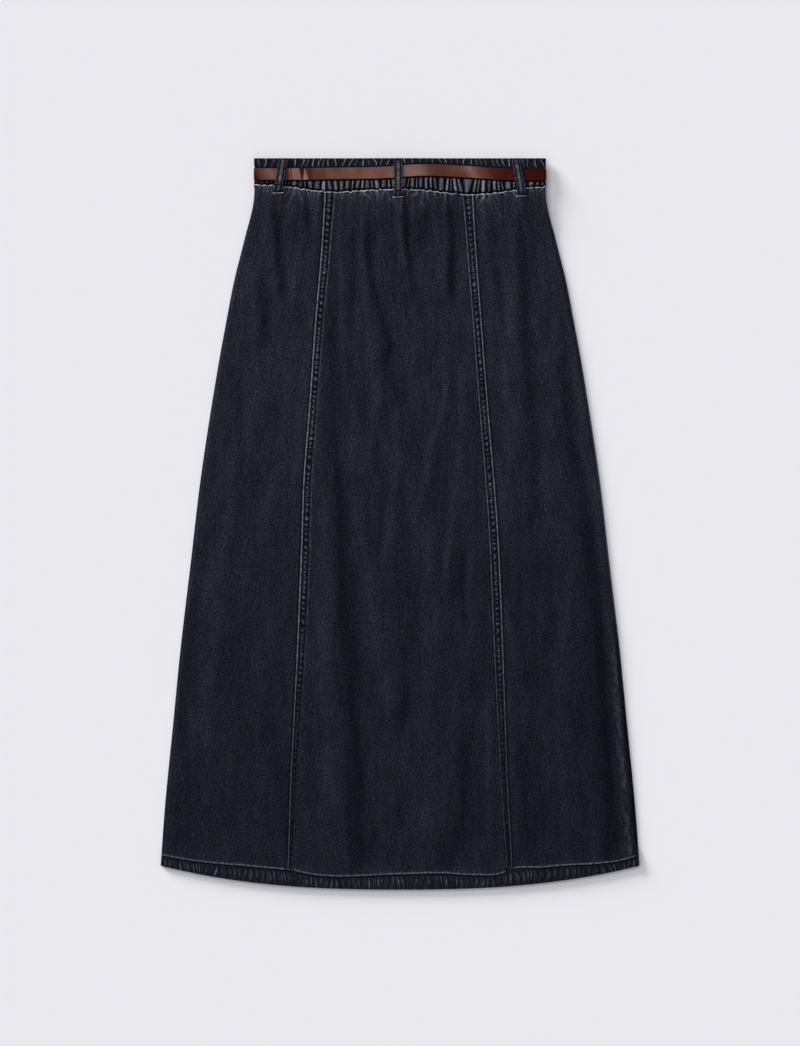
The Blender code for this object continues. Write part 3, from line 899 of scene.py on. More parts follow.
    def gathered(self, across: Array, drop: Array) -> Array:
        """Find the gathers that die out below the waist seam.

        Args:
            across: Places across.
            drop: Their drops.

        Returns:
            Their heights: small ones die out first, then middling ones, then broad ones.
        """
        place = self.top_place(across, drop)
        below = np.maximum(drop - self.seam_drop(place), 0)
        inside, strength = self.puckers.cell(place)
        dome = np.sqrt(np.maximum(1 - inside**2, 0)) - 0.7
        fading = np.exp(-below / (5 * MM + 7 * MM * strength))
        small = self.small_gathers * dome * strength * fading
        broad = self.broad_gathers * wander(place, 24 * MM, 3) * np.exp(-below / (60 * MM))
        middle = self.middle_gathers * wander(place, 11 * MM, 4) * np.exp(-below / (28 * MM))
        return small + broad + middle + self.ripples * wander(place, 30 * MM, 6)

    def back_height(self, across: Array, drop: Array) -> Array:
        """Find the back panels' outer face.

        Args:
            across: Places across.
            drop: Their drops.

        Returns:
            Its heights, never lower than the hem's two layers of cloth allow.
        """
        clear = self.slack(across, drop) + self.gathered(across, drop)
        to_hem = self.hem_drop(across) - drop
        hem = 2 * self.cloth * (1 - climb(to_hem, 20, 6))
        base = self.front_floor(across, drop) + 2 * self.cloth + self.gap
        return base + np.maximum(clear, np.maximum(hem, 0.0))

    def ragged(self, across: Array) -> Array:
        """How far the waist seam wavers up and down."""
        return self.raggedness * wander(across, 9 * MM, 12)

    def point(self, across: Array, drop: Array, height: Array) -> Array:
        """Stack places, drops and heights into points."""
        return np.stack(np.broadcast_arrays(across, LENGTH / 2 - drop, height), axis=-1)


def spread_rows(first: float, last: float, count: int, power: float) -> Array:
    """Shares from 0 to 1, packed towards the start.

    Args:
        first: Share of the first row.
        last: Share of the last row.
        count: Number of rows.
        power: How strongly they pack; 1 is even.

    Returns:
        The shares.
    """
    return first + (last - first) * np.linspace(0, 1, count) ** power


# ---------------------------------------------------------------- panels


@dataclass
class BackPanels:
    """The centre back and both side backs, from the waist seam to the hem's stitching."""

    form: SkirtForm
    denim: bpy.types.Material
    columns: int = 172
    side_columns: int = 96
    rows: int = 190
    packing: float = 1.55
    seam_gap: float = 0.15 * MM
    head_inset: float = 0.5 * MM
    lip_paleness: float = 2.6
    fan_highlight: float = 1.05
    hem_line_paleness: float = 0.36
    wisp_paleness: float = 0.22
    seam_shadow: float = 0.9
    fold_shade: float = 0.55

    # Distances of the closest rows from the panel's top and from its foot, and of the closest
    # columns from its side edge (mm)
    TOP_ROWS: ClassVar[tuple[float, ...]] = (0.0, 0.35, 0.7, 1.0, 1.5, 2.2, 3.0)
    FOOT_ROWS: ClassVar[tuple[float, ...]] = (-4.2, -3.4, -2.7, -2.1, -1.6, -1.1, -0.7, -0.3, 0.0)
    EDGE_COLUMNS: ClassVar[tuple[float, ...]] = (
        7.0, 6.2, 5.5, 4.9, 4.3, 3.6, 2.9, 2.2, 1.6, 1.1, 0.7, 0.35, 0.0,
    )

    def fading_and_highlights_at(self, across: Array, drop: Array, below: Array) -> Array:
        """Fading and painted highlights of the panels.

        Args:
            across: Places across.
            drop: Their drops.
            below: Their distances below the panel's own top edge.

        Returns:
            The fading: a frayed pale lip at the waist seam, and short painted highlights on the puckers
            fanning out below it.
        """
        place = self.form.top_place(across, drop)
        frayed = 0.80 + 0.8 * wander(place, 9 * MM, 21) + 0.8 * wander(place, 3 * MM, 22)
        wear = self.lip_paleness * np.clip(frayed, 0.03, 1.6) * near(below - 0.45 * MM, 0.55 * MM)
        # painted highlights on the gathers that fan out below the seam
        for pitch, seed, lean_seed in ((6.0, 23, 24), (8.5, 25, 26)):
            fans = Gathers(pitch * MM, 0.45 * pitch * MM, seed)
            lean = 0.65 * wander(place, 45 * MM, lean_seed)
            line, strength = fans.line(place - lean * below, 0.6 * MM)
            length = 1.8 * MM + 6.5 * MM * strength**2
            wear = wear + self.fan_highlight * line * strength * np.exp(-below / length)
        return wear + 0.035 * np.exp(-below / (14 * MM))

    def panel(
        self, name: str, left: Callable[[Array], Array], right: Callable[[Array], Array], columns: Array
    ) -> bpy.types.Object:
        """Make one panel.

        Args:
            name: The panel's name.
            left: Its left edge, by drop.
            right: Its right edge, by drop.
            columns: Shares of its columns from left to right.

        Returns:
            The panel, as a closed wall.
        """
        form = self.form
        level = form.seam_level
        top_across = left(level) + (right(level) - left(level)) * columns
        head = form.seam_drop(top_across) + self.head_inset + form.ragged(top_across)
        # the edges lean, so the hem's place is closed in on
        foot = np.full(columns.shape, LENGTH)
        for _ in range(5):
            across = left(foot) + (right(foot) - left(foot)) * columns
            foot = form.hem_drop(across) - follow(HEM_DEPTH, across)
        below = np.concatenate((self.TOP_ROWS, 4.0 + 1.2 * np.arange(8))) * MM
        start = head + below[-1]
        shares = spread_rows(0, 1, self.rows, self.packing)[1:, None]
        last = np.array(self.FOOT_ROWS)[:, None] * MM
        drop = np.concatenate(
            (head + below[:, None], start + (foot - 5.2 * MM - start) * shares, foot + last)
        )
        across = left(drop) + (right(drop) - left(drop)) * columns
        from_top, from_foot = drop - head, foot - drop
        outer = form.back_height(across, drop)
        rolled = 0.5 * MM * near(from_top - 0.9 * MM, 0.9 * MM) - 0.7 * MM * near(from_top, 0.35 * MM)
        rolled += 0.3 * MM * near(from_foot - 0.9 * MM, 0.8 * MM) - 0.5 * MM * near(from_foot, 0.3 * MM)
        to_edge = np.maximum(form.half_width(drop) - np.abs(across), 0)
        rounded = -0.8 * MM * near(to_edge, 0.9 * MM)
        beads, bead_wear_and_shade = self.side_seam(across, drop, to_edge)
        outer = outer + rolled + rounded + beads
        inner = outer - form.cloth + 0.5 * MM * near(to_edge, 0.5 * MM)
        wear = self.fading_and_highlights_at(across, drop, from_top) + bead_wear_and_shade
        stitched = 0.8 + 0.6 * wander(across, 6 * MM, 31)
        wear += self.hem_line_paleness * stitched * near(from_foot - 1.1 * MM, 1.0 * MM)
        wisps, wisp_strength = Gathers(5 * MM, 2.2 * MM, 33, 320 * MM).line(across, 0.6 * MM)
        fraying = np.exp(-from_foot / (2.5 * MM)) * (from_foot > 1.2 * MM)
        wear += self.wisp_paleness * wisps * wisp_strength * fraying
        laps = (np.abs(side.value * across - form.lap_edge(drop, side)) for side in Side)
        to_lap = np.minimum(*laps)
        # painted shadow in the ditch just outside each lapped strip's folded edge
        outside = np.abs(across) > form.gore_seam(drop) - 4 * MM
        wear -= self.seam_shadow * near(to_lap - 0.9 * MM, 0.9 * MM) * outside
        tone = form.painted_falloff(across, drop) + 0.16 * near(to_lap, 9 * MM)
        tone = tone - 0.25 * near(to_edge, 1.6 * MM)
        # above the puckered stretch the right edge gets a painted highlight instead, on the rounded rim
        # that turns away from the key light
        lit_right_rim = (across > 0) * (1 - climb(drop, 560, 120))
        tone += 1.05 * near(to_edge, 2.6 * MM) * lit_right_rim
        wear += 0.32 * near(to_edge, 1.4 * MM) * lit_right_rim * climb(drop, 220, 160)
        # painted light and shade on the folds: slopes facing the key light on the left are painted
        # lighter, slopes facing away darker
        folds = form.fold_height(across, drop)
        tone += self.fold_shade * np.gradient(folds, axis=1) / np.gradient(across, axis=1)
        middle = (left(drop) + right(drop)) / 2
        lie = np.stack((across - middle, -drop), axis=-1)
        lie[..., 0] += 0.5 * columns[0] + float(middle[0].mean())
        faces = form.point(across, drop, outer), form.point(across, drop, inner)
        return wall(name, *faces, wear, lie, self.denim, tone)

    def side_seam(self, across: Array, drop: Array, to_edge: Array) -> tuple[Array, Array]:
        """Puckers along the right side seam's lower stretch, their fading and their painted shade.

        Args:
            across: Places across.
            drop: Their drops.
            to_edge: Their distances from the skirt's side edge.

        Returns:
            The puckers' heights, and their fading with painted shade in the notches between them.
        """
        shown = climb(drop, 550, 110) * (across > 0)
        step = drop / (10 * MM) + 0.6 * wander(drop, 45 * MM, 41)
        rope = np.sin((step + to_edge / (14 * MM)) * math.tau)
        margin = (2.2 * MM + 3.6 * MM * climb(drop, 560, 200)) * (1 + 0.3 * rope)
        seam = ease((to_edge - margin) / (1.6 * MM))
        ridge = seam * near(np.maximum(to_edge - margin - 2 * MM, 0), 6 * MM)
        # painted shade in the notches between the puckers and along the lowered margin
        notch = ease(-1.6 * rope) * near(to_edge - 0.5 * margin, 2.6 * MM)
        height = 0.32 * MM * ridge * (0.7 + 0.5 * rope) - 0.35 * MM * (1 - seam)
        fading = 0.055 * ridge * (0.8 + 0.8 * rope) - 0.06 * (1 - seam) - 1.2 * notch
        return shown * height, shown * fading

    def build(self) -> dict[str, bpy.types.Object]:
        """Make the three panels.

        Returns:
            The panels by name.
        """
        form = self.form

        def inside(side: Side) -> Callable[[Array], Array]:
            """Give the centre panel's edge, where the lapped strip starts.

            Args:
                side: Which side the edge is on.

            Returns:
                The edge's place across, as a function of the drop.
            """
            return lambda drop: side.value * (
                form.lap_edge(drop, side) - form.strip_width(drop) - self.seam_gap
            )

        def outside(side: Side) -> Callable[[Array], Array]:
            """Give a side panel's inner edge, just outside the lapped strip."""
            return lambda drop: side.value * (form.lap_edge(drop, side) + self.seam_gap)

        level = form.seam_level
        side_width = float(form.half_width(level) - outside(Side.RIGHT)(level))
        edge_steps = side_width - np.array(self.EDGE_COLUMNS) * MM
        body = np.linspace(0, side_width - 8 * MM, self.side_columns)
        start = np.array([0.35, 0.8]) * MM
        across = np.unique(np.concatenate((body, start, edge_steps))) / side_width
        centre = np.linspace(0, 1, self.columns)
        edges = {
            "centre": (inside(Side.LEFT), inside(Side.RIGHT), centre),
            "left": (lambda drop: -form.half_width(drop), outside(Side.LEFT), 1 - across[::-1]),
            "right": (outside(Side.RIGHT), form.half_width, across),
        }
        return {
            key: belongs(self.panel(f"{key}_back_cloth", *sides), Slot.DENIM, f"back_{key}")
            for key, sides in edges.items()
        }


@dataclass
class LappedStrips:
    """The twin-stitched strips where the centre back laps over the side backs."""

    form: SkirtForm
    denim: bpy.types.Material
    row_pitch: float = 1.35 * MM
    rope_pitch: float = 6.6 * MM
    rise: float = 0.55 * MM
    groove: float = 0.40 * MM
    rope_height: float = 0.32 * MM
    outer_paleness: float = 0.80
    inner_paleness: float = 0.28
    inner_paler_left: float = 0.30
    inner_paler_right: float = 0.10
    mark_paleness: float = 0.42

    # Rows at the strip's head (mm), and shares of its width
    HEAD_ROWS: ClassVar[tuple[float, ...]] = (0.0, 0.4, 0.8, 1.3, 2.0)
    SHARES: ClassVar[tuple[float, ...]] = (
        0.0, 0.03, 0.07, 0.12, 0.17, 0.22, 0.27, 0.32, 0.38, 0.44, 0.50, 0.56, 0.62, 0.67, 0.72,
        0.77, 0.81, 0.85, 0.89, 0.93, 0.97, 1.0,
    )

    def build(self, side: Side) -> bpy.types.Object:
        """Make one strip.

        Args:
            side: Which gore seam it covers.

        Returns:
            The strip, as a closed wall.
        """
        form = self.form
        seam = float(form.lap_edge(form.seam_level, side)) * side.value
        head = float(form.seam_drop(seam)) + 0.7 * MM
        end = side.value * form.lap_edge(LENGTH * 0.98, side)
        foot = float(form.hem_drop(end) - follow(HEM_DEPTH, end)) - 0.2 * MM
        rows = int((foot - head) / self.row_pitch)
        top_rows = head + np.array(self.HEAD_ROWS) * MM
        drop = np.concatenate((top_rows, np.linspace(head + 3.2 * MM, foot, rows)))[:, None]
        width = form.strip_width(drop)
        inward = np.array(self.SHARES) * width
        across = side.value * (form.lap_edge(drop, side) - inward)
        from_inner = width - inward
        outer_line, inner_line = inward - form.fold_edge, from_inner - form.inner_margin
        beside_outer = near(outer_line - 1.9 * MM, 0.9 * MM)
        beside_inner = near(inner_line - 1.9 * MM, 0.9 * MM)
        between = climb(outer_line, 1.6, 1.4) * climb(inner_line, 1.4, 1.4)
        seed = 50 + side.value
        step = drop / self.rope_pitch + 0.5 * wander(drop, 55 * MM, seed)
        middle = np.abs(inward / width - 0.5)
        rope = np.sin((step + 0.9 * middle) * math.tau)
        uneven = 0.6 + 0.4 * wander(drop, 30 * MM, seed + 7)
        height = self.rise * climb(inward, 0, 0.8) - self.rise * near(inward, 0.35 * MM)
        height = height * climb(from_inner, 0, 1.2) - 0.15 * MM
        height = height - self.groove * (beside_outer + 0.8 * beside_inner)
        height = height + self.rope_height * between * rope * uneven
        outer = form.back_height(across, drop) + height
        # the rubbed edges are strongest high up and die out towards the hem
        rubbed = 1.0 - 0.70 * ease((drop / MM - 500) / 260)
        fray = 0.85 + 0.22 * wander(drop, 22 * MM, seed + 3) + 0.25 * wander(drop, 7 * MM, seed + 4)
        other = 0.85 + 0.30 * wander(drop, 26 * MM, seed + 5) + 0.25 * wander(drop, 8 * MM, seed + 6)
        wear = self.outer_paleness * rubbed * fray * near(outer_line, 0.64 * MM)
        high_up = 1 - climb(drop, 110, 80)
        paler = self.inner_paler_left if side is Side.LEFT else self.inner_paler_right
        inner_pale = self.inner_paleness + paler * high_up
        wear = wear + inner_pale * rubbed * other * near(inner_line, 0.62 * MM)
        crossing = np.sin((0.93 * step - 1.1 * (inward / width - 0.5)) * math.tau)
        twisted = np.maximum(np.maximum(rope, 0), 0.8 * np.maximum(crossing, 0))
        marks = ease(1.5 * twisted) * near(inward / width - 0.50, 0.28)
        patchy = (0.6 + 0.4 * uneven) * (0.7 + 0.6 * wander(drop, 5 * MM, seed + 8) ** 2)
        wear = wear + self.mark_paleness * marks * rubbed * patchy
        # painted shade in the grooves beside both rows of stitches
        wear = wear - (0.85 * beside_outer + 0.70 * beside_inner) * (1 - 0.5 * marks)
        wear = wear - 0.85 * between * (1 - marks)
        # the worn lip of the waist seam runs on across the strip's head
        wear = wear + 2.4 * near(drop - head - 0.4 * MM, 0.6 * MM)
        lie = np.stack(np.broadcast_arrays(across, -drop), axis=-1)
        inner = outer - form.cloth - 0.2 * MM
        faces = form.point(across, drop, outer), form.point(across, drop, inner)
        worn_lit_and_shaded = np.broadcast_to(wear, across.shape)
        name = f"lapped_strip_{side.name.lower()}"
        piece = wall(name, *faces, worn_lit_and_shaded, lie, self.denim, form.painted_falloff(across, drop))
        return belongs(piece, Slot.DENIM)


@dataclass
class BackHem:
    """The turned-up hem of the back, puckered under its stitching."""

    form: SkirtForm
    denim: bpy.types.Material
    column_pitch: float = 1.25 * MM
    pucker_height: float = 0.55 * MM
    pucker_paleness: float = 0.72
    hem_tone: float = -0.12

    # Shares of the hem's depth at its rows
    DOWN: ClassVar[tuple[float, ...]] = (
        0.0, 0.03, 0.07, 0.12, 0.18, 0.26, 0.36, 0.47, 0.58, 0.69, 0.79, 0.87, 0.93, 0.97, 1.0,
    )

    def build(self) -> bpy.types.Object:
        """Make the hem.

        Returns:
            The hem, as a closed wall of double cloth.
        """
        form = self.form
        corner = float(form.half_width(LENGTH - form.hem_rise)) - 0.1 * MM
        count = int(2 * corner / self.column_pitch)
        at_edge = np.linspace(-corner, corner, count)
        depth = follow(HEM_DEPTH, at_edge) - 0.15 * MM
        down = np.array(self.DOWN)[:, None]
        drop = form.hem_drop(at_edge) - depth * (1 - down)
        # the hem's sides follow the skirt's edge, which leans outwards
        across = at_edge * form.half_width(drop) / form.half_width(form.hem_drop(at_edge))
        from_top, from_foot = depth * down, depth * (1 - down)
        lean = 0.30 * wander(at_edge, 60 * MM, 62)
        puckers = Gathers(6.2 * MM, 2.6 * MM, 64, 300 * MM)
        inside, strength = puckers.cell(at_edge + lean * from_top)
        crest, _ = puckers.line(at_edge + lean * from_top + 1.2 * MM, 0.9 * MM)
        body = climb(from_top, 0, 3) * (0.35 + 0.65 * climb(from_foot, 0, 4))
        dome = np.sqrt(np.maximum(1 - inside**2, 0)) - 0.6
        height = self.pucker_height * dome * (0.4 + 0.6 * strength) * body
        height = height - 1.0 * MM * near(from_top, 1.3 * MM)
        height = height - 0.7 * MM * near(from_foot, 0.5 * MM) + 0.15 * MM
        to_edge = np.maximum(form.half_width(drop) - np.abs(across), 0)
        outer = form.back_height(across, drop) + height - 0.6 * MM * near(to_edge, 0.8 * MM)
        patchy = 0.75 + 0.3 * wander(at_edge, 45 * MM, 63)
        spot = near(from_top - (5 + 5 * strength) * MM, 5 * MM)
        wear = self.pucker_paleness * crest * (0.25 + 0.75 * strength) * patchy * spot * body
        wear = wear + 0.05 * near(inside + 0.3, 0.5) * strength * body
        # painted shade in the creases between puckers, and painted shadow in the ditch at the hem's top
        wear = wear - 0.7 * near(np.abs(inside) - 1, 0.28) * body
        wear = wear - 1.0 * near(from_top - 0.5 * MM, 1.2 * MM)
        wear = wear + 0.12 * near(from_foot - 0.5 * MM, 0.6 * MM)
        inner = outer - 2 * form.cloth + 0.3 * MM
        lie = np.stack(np.broadcast_arrays(across, -drop), axis=-1)
        faces = form.point(across, drop, outer), form.point(across, drop, inner)
        piece = wall("back_hem", *faces, wear, lie, self.denim, form.painted_falloff(across, drop) + self.hem_tone)
        return belongs(piece, Slot.DENIM)


@dataclass
class FrontPanel:
    """The plain front, underneath, in one piece with its hem."""

    form: SkirtForm
    denim: bpy.types.Material
    columns: int = 90
    rows: int = 110
    packing: float = 1.3
    head: float = 36.5 * MM
    hem_shy: float = 0.6 * MM
    hem_depth: float = 13.5 * MM

    # Shares of the half width at the closest columns, and distances of the closest rows from the
    # panel's top and from its foot (mm)
    EDGE_COLUMNS: ClassVar[tuple[float, ...]] = (-0.9985, -0.995, 0.995, 0.9985)
    TOP_ROWS: ClassVar[tuple[float, ...]] = (0.0, 0.5, 1.2)
    FOOT_ROWS: ClassVar[tuple[float, ...]] = (-15.0, -14.0, -13.0, -6.0, -1.0, -0.4, 0.0)

    def build(self) -> bpy.types.Object:
        """Make the front.

        Returns:
            The front, as a closed wall lying on the floor.
        """
        form = self.form
        even = np.linspace(-1, 1, self.columns)
        share = np.unique(np.concatenate((even, self.EDGE_COLUMNS)))
        foot = np.full(share.shape, LENGTH)
        for _ in range(5):
            foot = form.hem_drop(form.half_width(foot) * share) - self.hem_shy
        below = np.concatenate((self.TOP_ROWS, 3.0 + 2.5 * np.arange(10)))[:, None] * MM
        start = self.head + below[-1]
        shares = spread_rows(0, 1, self.rows, self.packing)[1:, None]
        last = np.array(self.FOOT_ROWS)[:, None] * MM
        middle = start + (foot - 17 * MM - start) * shares
        drop = np.concatenate((self.head + below + 0 * foot, middle, foot + last))
        across = form.half_width(drop) * share
        to_foot = foot - drop
        hem = 1 - ease((to_foot - self.hem_depth) / (1.2 * MM))
        to_edge = np.maximum(form.half_width(drop) - np.abs(across), 0)
        rounding = near(to_edge, 0.7 * MM) + near(to_foot, 0.4 * MM)
        under = form.front_floor(across, drop) + 0.5 * MM * rounding
        over = form.front_floor(across, drop) + form.cloth * (1 + hem) - 0.2 * MM * rounding
        hem_line = near(to_foot - self.hem_depth - 0.5 * MM, 0.8 * MM)
        wear = 0.25 * hem_line + 0.045 * wander(across, 40 * MM, 71)
        lie = np.stack((across, -drop), axis=-1)
        faces = form.point(across, drop, under), form.point(across, drop, over)
        return belongs(wall("front_cloth", *faces, wear, lie, self.denim), Slot.DENIM, "front")


# ---------------------------------------------------------------- waistband


@dataclass
class Waistband:
    """Both gathered casings, with the belt's trough pressed into the back one."""

    form: SkirtForm
    denim: bpy.types.Material
    belt_width: float = 15.0 * MM
    column_pitch: float = 0.6 * MM
    ridge_height: float = 1.0 * MM
    pillow_height: float = 1.7 * MM
    trough_rise: float = 0.85 * MM
    trough_shade: float = -0.8
    fullness: float = 1.35

    # Shares of the height above the belt, under it, and between it and the waist seam
    ABOVE: ClassVar[tuple[float, ...]] = (
        0.0, 0.03, 0.08, 0.16, 0.28, 0.42, 0.56, 0.7, 0.82, 0.92, 1.0,
    )
    UNDER: ClassVar[tuple[float, ...]] = (0.08, 0.3, 0.7, 0.92)
    BELOW: ClassVar[tuple[float, ...]] = (
        0.0, 0.06, 0.13, 0.2, 0.28, 0.37, 0.46, 0.55, 0.64, 0.72, 0.79, 0.85, 0.9, 0.94, 0.97, 1.0,
    )
    # Drops of the front casing's rows (mm)
    FRONT_ROWS: ClassVar[tuple[float, ...]] = (
        0.0, 0.4, 1.2, 3.0, 5.0, 7.0, 9.0, 10.5, 11.6, 15.0, 20.0, 25.0, 28.2, 29.5, 31.0, 32.5,
        34.0, 35.0, 35.6, 36.0,
    )

    def back(self) -> bpy.types.Object:
        """Make the back casing.

        Returns:
            The casing, as a closed wall.
        """
        form = self.form
        reach = form.band_half_width
        place = np.linspace(-reach, reach, int(2 * reach / self.column_pitch))
        belt = follow(BELT_LINE, place)
        foot = form.seam_drop(place) + form.ragged(place)
        belt_top = belt - self.belt_width / 2 - 0.5 * MM
        belt_foot = belt + self.belt_width / 2 + 0.4 * MM
        above, under, below = (
            np.array(rows)[:, None] for rows in (self.ABOVE, self.UNDER, self.BELOW)
        )
        trough = belt_top + (belt_foot - belt_top) * under
        drop = np.concatenate((belt_top * above, trough, belt_foot + (foot - belt_foot) * below))
        row = np.arange(len(drop))[:, None]
        is_above, is_under = row < len(above), row < len(above) + len(under)
        nip = near(np.maximum(np.abs(drop - belt) - self.belt_width / 2, 0), 1.0 * MM)
        across = place * (1 - nip * (1 - form.band_nipped / reach))

        ridges = Gathers(pitch=7.6 * MM, spread=2.4 * MM, seed=9)
        lean = 0.25 * np.tanh(place / (60 * MM)) + 0.38 * wander(place, 42 * MM, 81)
        curl = 0.8 * MM * np.sin(drop / (12 * MM) * math.tau + place / (7 * MM))
        bent = place - lean * (drop - 6 * MM) + curl
        ridge, ridge_strength = ridges.line(bent, 1.0 * MM)
        thin_ridge, _ = ridges.line(bent, 0.58 * MM)
        from_belt_top = np.maximum(belt_top - drop, 0)
        open_above = climb(from_belt_top, 0, 1.6)
        bulging = ridge * (0.5 + 0.5 * ridge_strength) * open_above
        rise_above = 0.9 * MM + self.ridge_height * bulging - 0.5 * MM * near(drop, 0.5 * MM)
        rubbed = thin_ridge * (0.5 + 1.25 * ridge_strength)
        marks_above = rubbed * (0.35 + 0.65 * open_above) - 0.42
        # darker along the top edge, with painted shadow along the belt's top edge
        marks_above = marks_above - 0.5 * near(drop, 0.9 * MM) - 0.5 * near(from_belt_top, 0.7 * MM)

        from_belt, from_seam = np.maximum(drop - belt_foot, 0), np.maximum(foot - drop, 0)
        slant = 0.20 * wander(place, 44 * MM, 82)
        shifted = place - slant * (foot - drop)
        inside, strength = form.puckers.cell(shifted)
        # each crease is a wedge of painted shade, wider at one end than at the other
        _, depth = form.puckers.line(shifted, MM)
        height = 2 * from_seam / np.maximum(foot - belt_foot, MM) - 1
        taper = np.clip(0.5 + 0.5 * np.sin(depth * 40) * height, 0.2, 1)
        crease, _ = form.puckers.line(shifted, (0.7 + 1.5 * depth * taper) * MM)
        dome = np.sqrt(np.maximum(1 - np.abs(inside) ** 2.2, 0))
        opened = climb(from_belt, 0, 2.2) * ease((from_seam + 0.4 * MM) / (2.4 * MM))
        bulge = 0.5 * MM + self.pillow_height * dome
        rise_below = 0.4 * MM + bulge * opened * (0.55 + 0.45 * strength)
        rise_below = rise_below - 0.7 * MM * crease * opened - 0.9 * MM * near(from_seam, 1.1 * MM)
        patchy = 0.7 + 0.35 * wander(place, 19 * MM, 83) + 0.25 * wander(place + 2 * drop, 6 * MM, 84)
        # the pale patch sits left of each bulge's crest: a painted highlight on the side facing the key
        # light
        pale = (0.18 + 0.68 * strength) * near(inside + 0.18, 0.60) * opened * patchy
        left_end, right_end = ease((-place / MM - 95) / 40), ease((place / MM - 150) / 20)
        pale = pale * (1 - 0.6 * left_end) * (1 - 0.35 * right_end)
        marks_below = pale + 0.05 - 1.25 * crease
        # painted shadow in the waist seam's ditch and just below the belt
        marks_below = marks_below - 1.2 * near(from_seam, 1.5 * MM) - 0.8 * near(from_belt, 0.9 * MM)

        middle = form.back_casing_floor + form.casing / 2 + form.buckle_lift(across)
        rise = np.where(is_above, rise_above, np.where(is_under, self.trough_rise, rise_below))
        wear = np.where(is_above, marks_above, np.where(is_under, self.trough_shade, marks_below))
        to_side = reach - np.abs(place)
        wear = wear - 0.7 * near(to_side, 1.6 * MM)
        outer = middle + rise - 0.8 * MM * near(to_side, 0.8 * MM)
        thickness = np.maximum(rise, 0.3 * MM) + 0.3 * MM
        inner = middle - np.minimum(form.casing / 2 - 0.1 * MM, thickness)
        lie = np.stack(np.broadcast_arrays(place * self.fullness, -drop), axis=-1)
        faces = form.point(across, drop, outer), form.point(across, drop, inner)
        piece = wall("waistband_back_cloth", *faces, wear, lie, self.denim)
        return belongs(piece, Slot.DENIM, "waistband_back")

    def front(self) -> bpy.types.Object:
        """Make the front casing.

        Returns:
            The casing, as a closed wall whose gathers face the floor.
        """
        form = self.form
        reach = form.band_half_width
        place = np.linspace(-reach, reach, int(2 * reach / (1.5 * MM)))
        lines = np.array(self.FRONT_ROWS)[:, None] * MM
        drop = lines + 0 * place
        pressed = climb(drop, 9.5, 2) * (1 - climb(drop, 28.0, 2))
        across = place * (1 - pressed * (1 - form.band_nipped / reach))
        inside, strength = Gathers(pitch=7.0 * MM, spread=2.0 * MM, seed=15).cell(place)
        dome = np.sqrt(np.maximum(1 - inside**2, 0))
        edge = near(drop, 0.6 * MM) + near(lines[-1] - drop, 0.6 * MM)
        hollow = (1 - dome) * 0.9 * MM * (1 - pressed)
        middle = form.front_casing_floor + form.casing / 2 + form.buckle_lift(across)
        to_side = near(reach - np.abs(place), 0.8 * MM)
        under = middle - form.casing / 2 + hollow + 0.7 * MM * edge + 0.6 * MM * to_side
        over = middle + form.casing / 2 - 0.7 * MM * edge
        # the dark lines between the gathers are painted shade
        rubbed = 0.45 * near(inside, 0.5) * strength - 0.6 * near(np.abs(inside) - 1, 0.2)
        wear = rubbed * (1 - pressed) - 0.2
        lie = np.stack(np.broadcast_arrays(place * self.fullness, -drop), axis=-1)
        faces = form.point(across, drop, under), form.point(across, drop, over)
        piece = wall("waistband_front_cloth", *faces, wear, lie, self.denim)
        return belongs(piece, Slot.DENIM, "waistband_front")


# ---------------------------------------------------------------- belt and loops


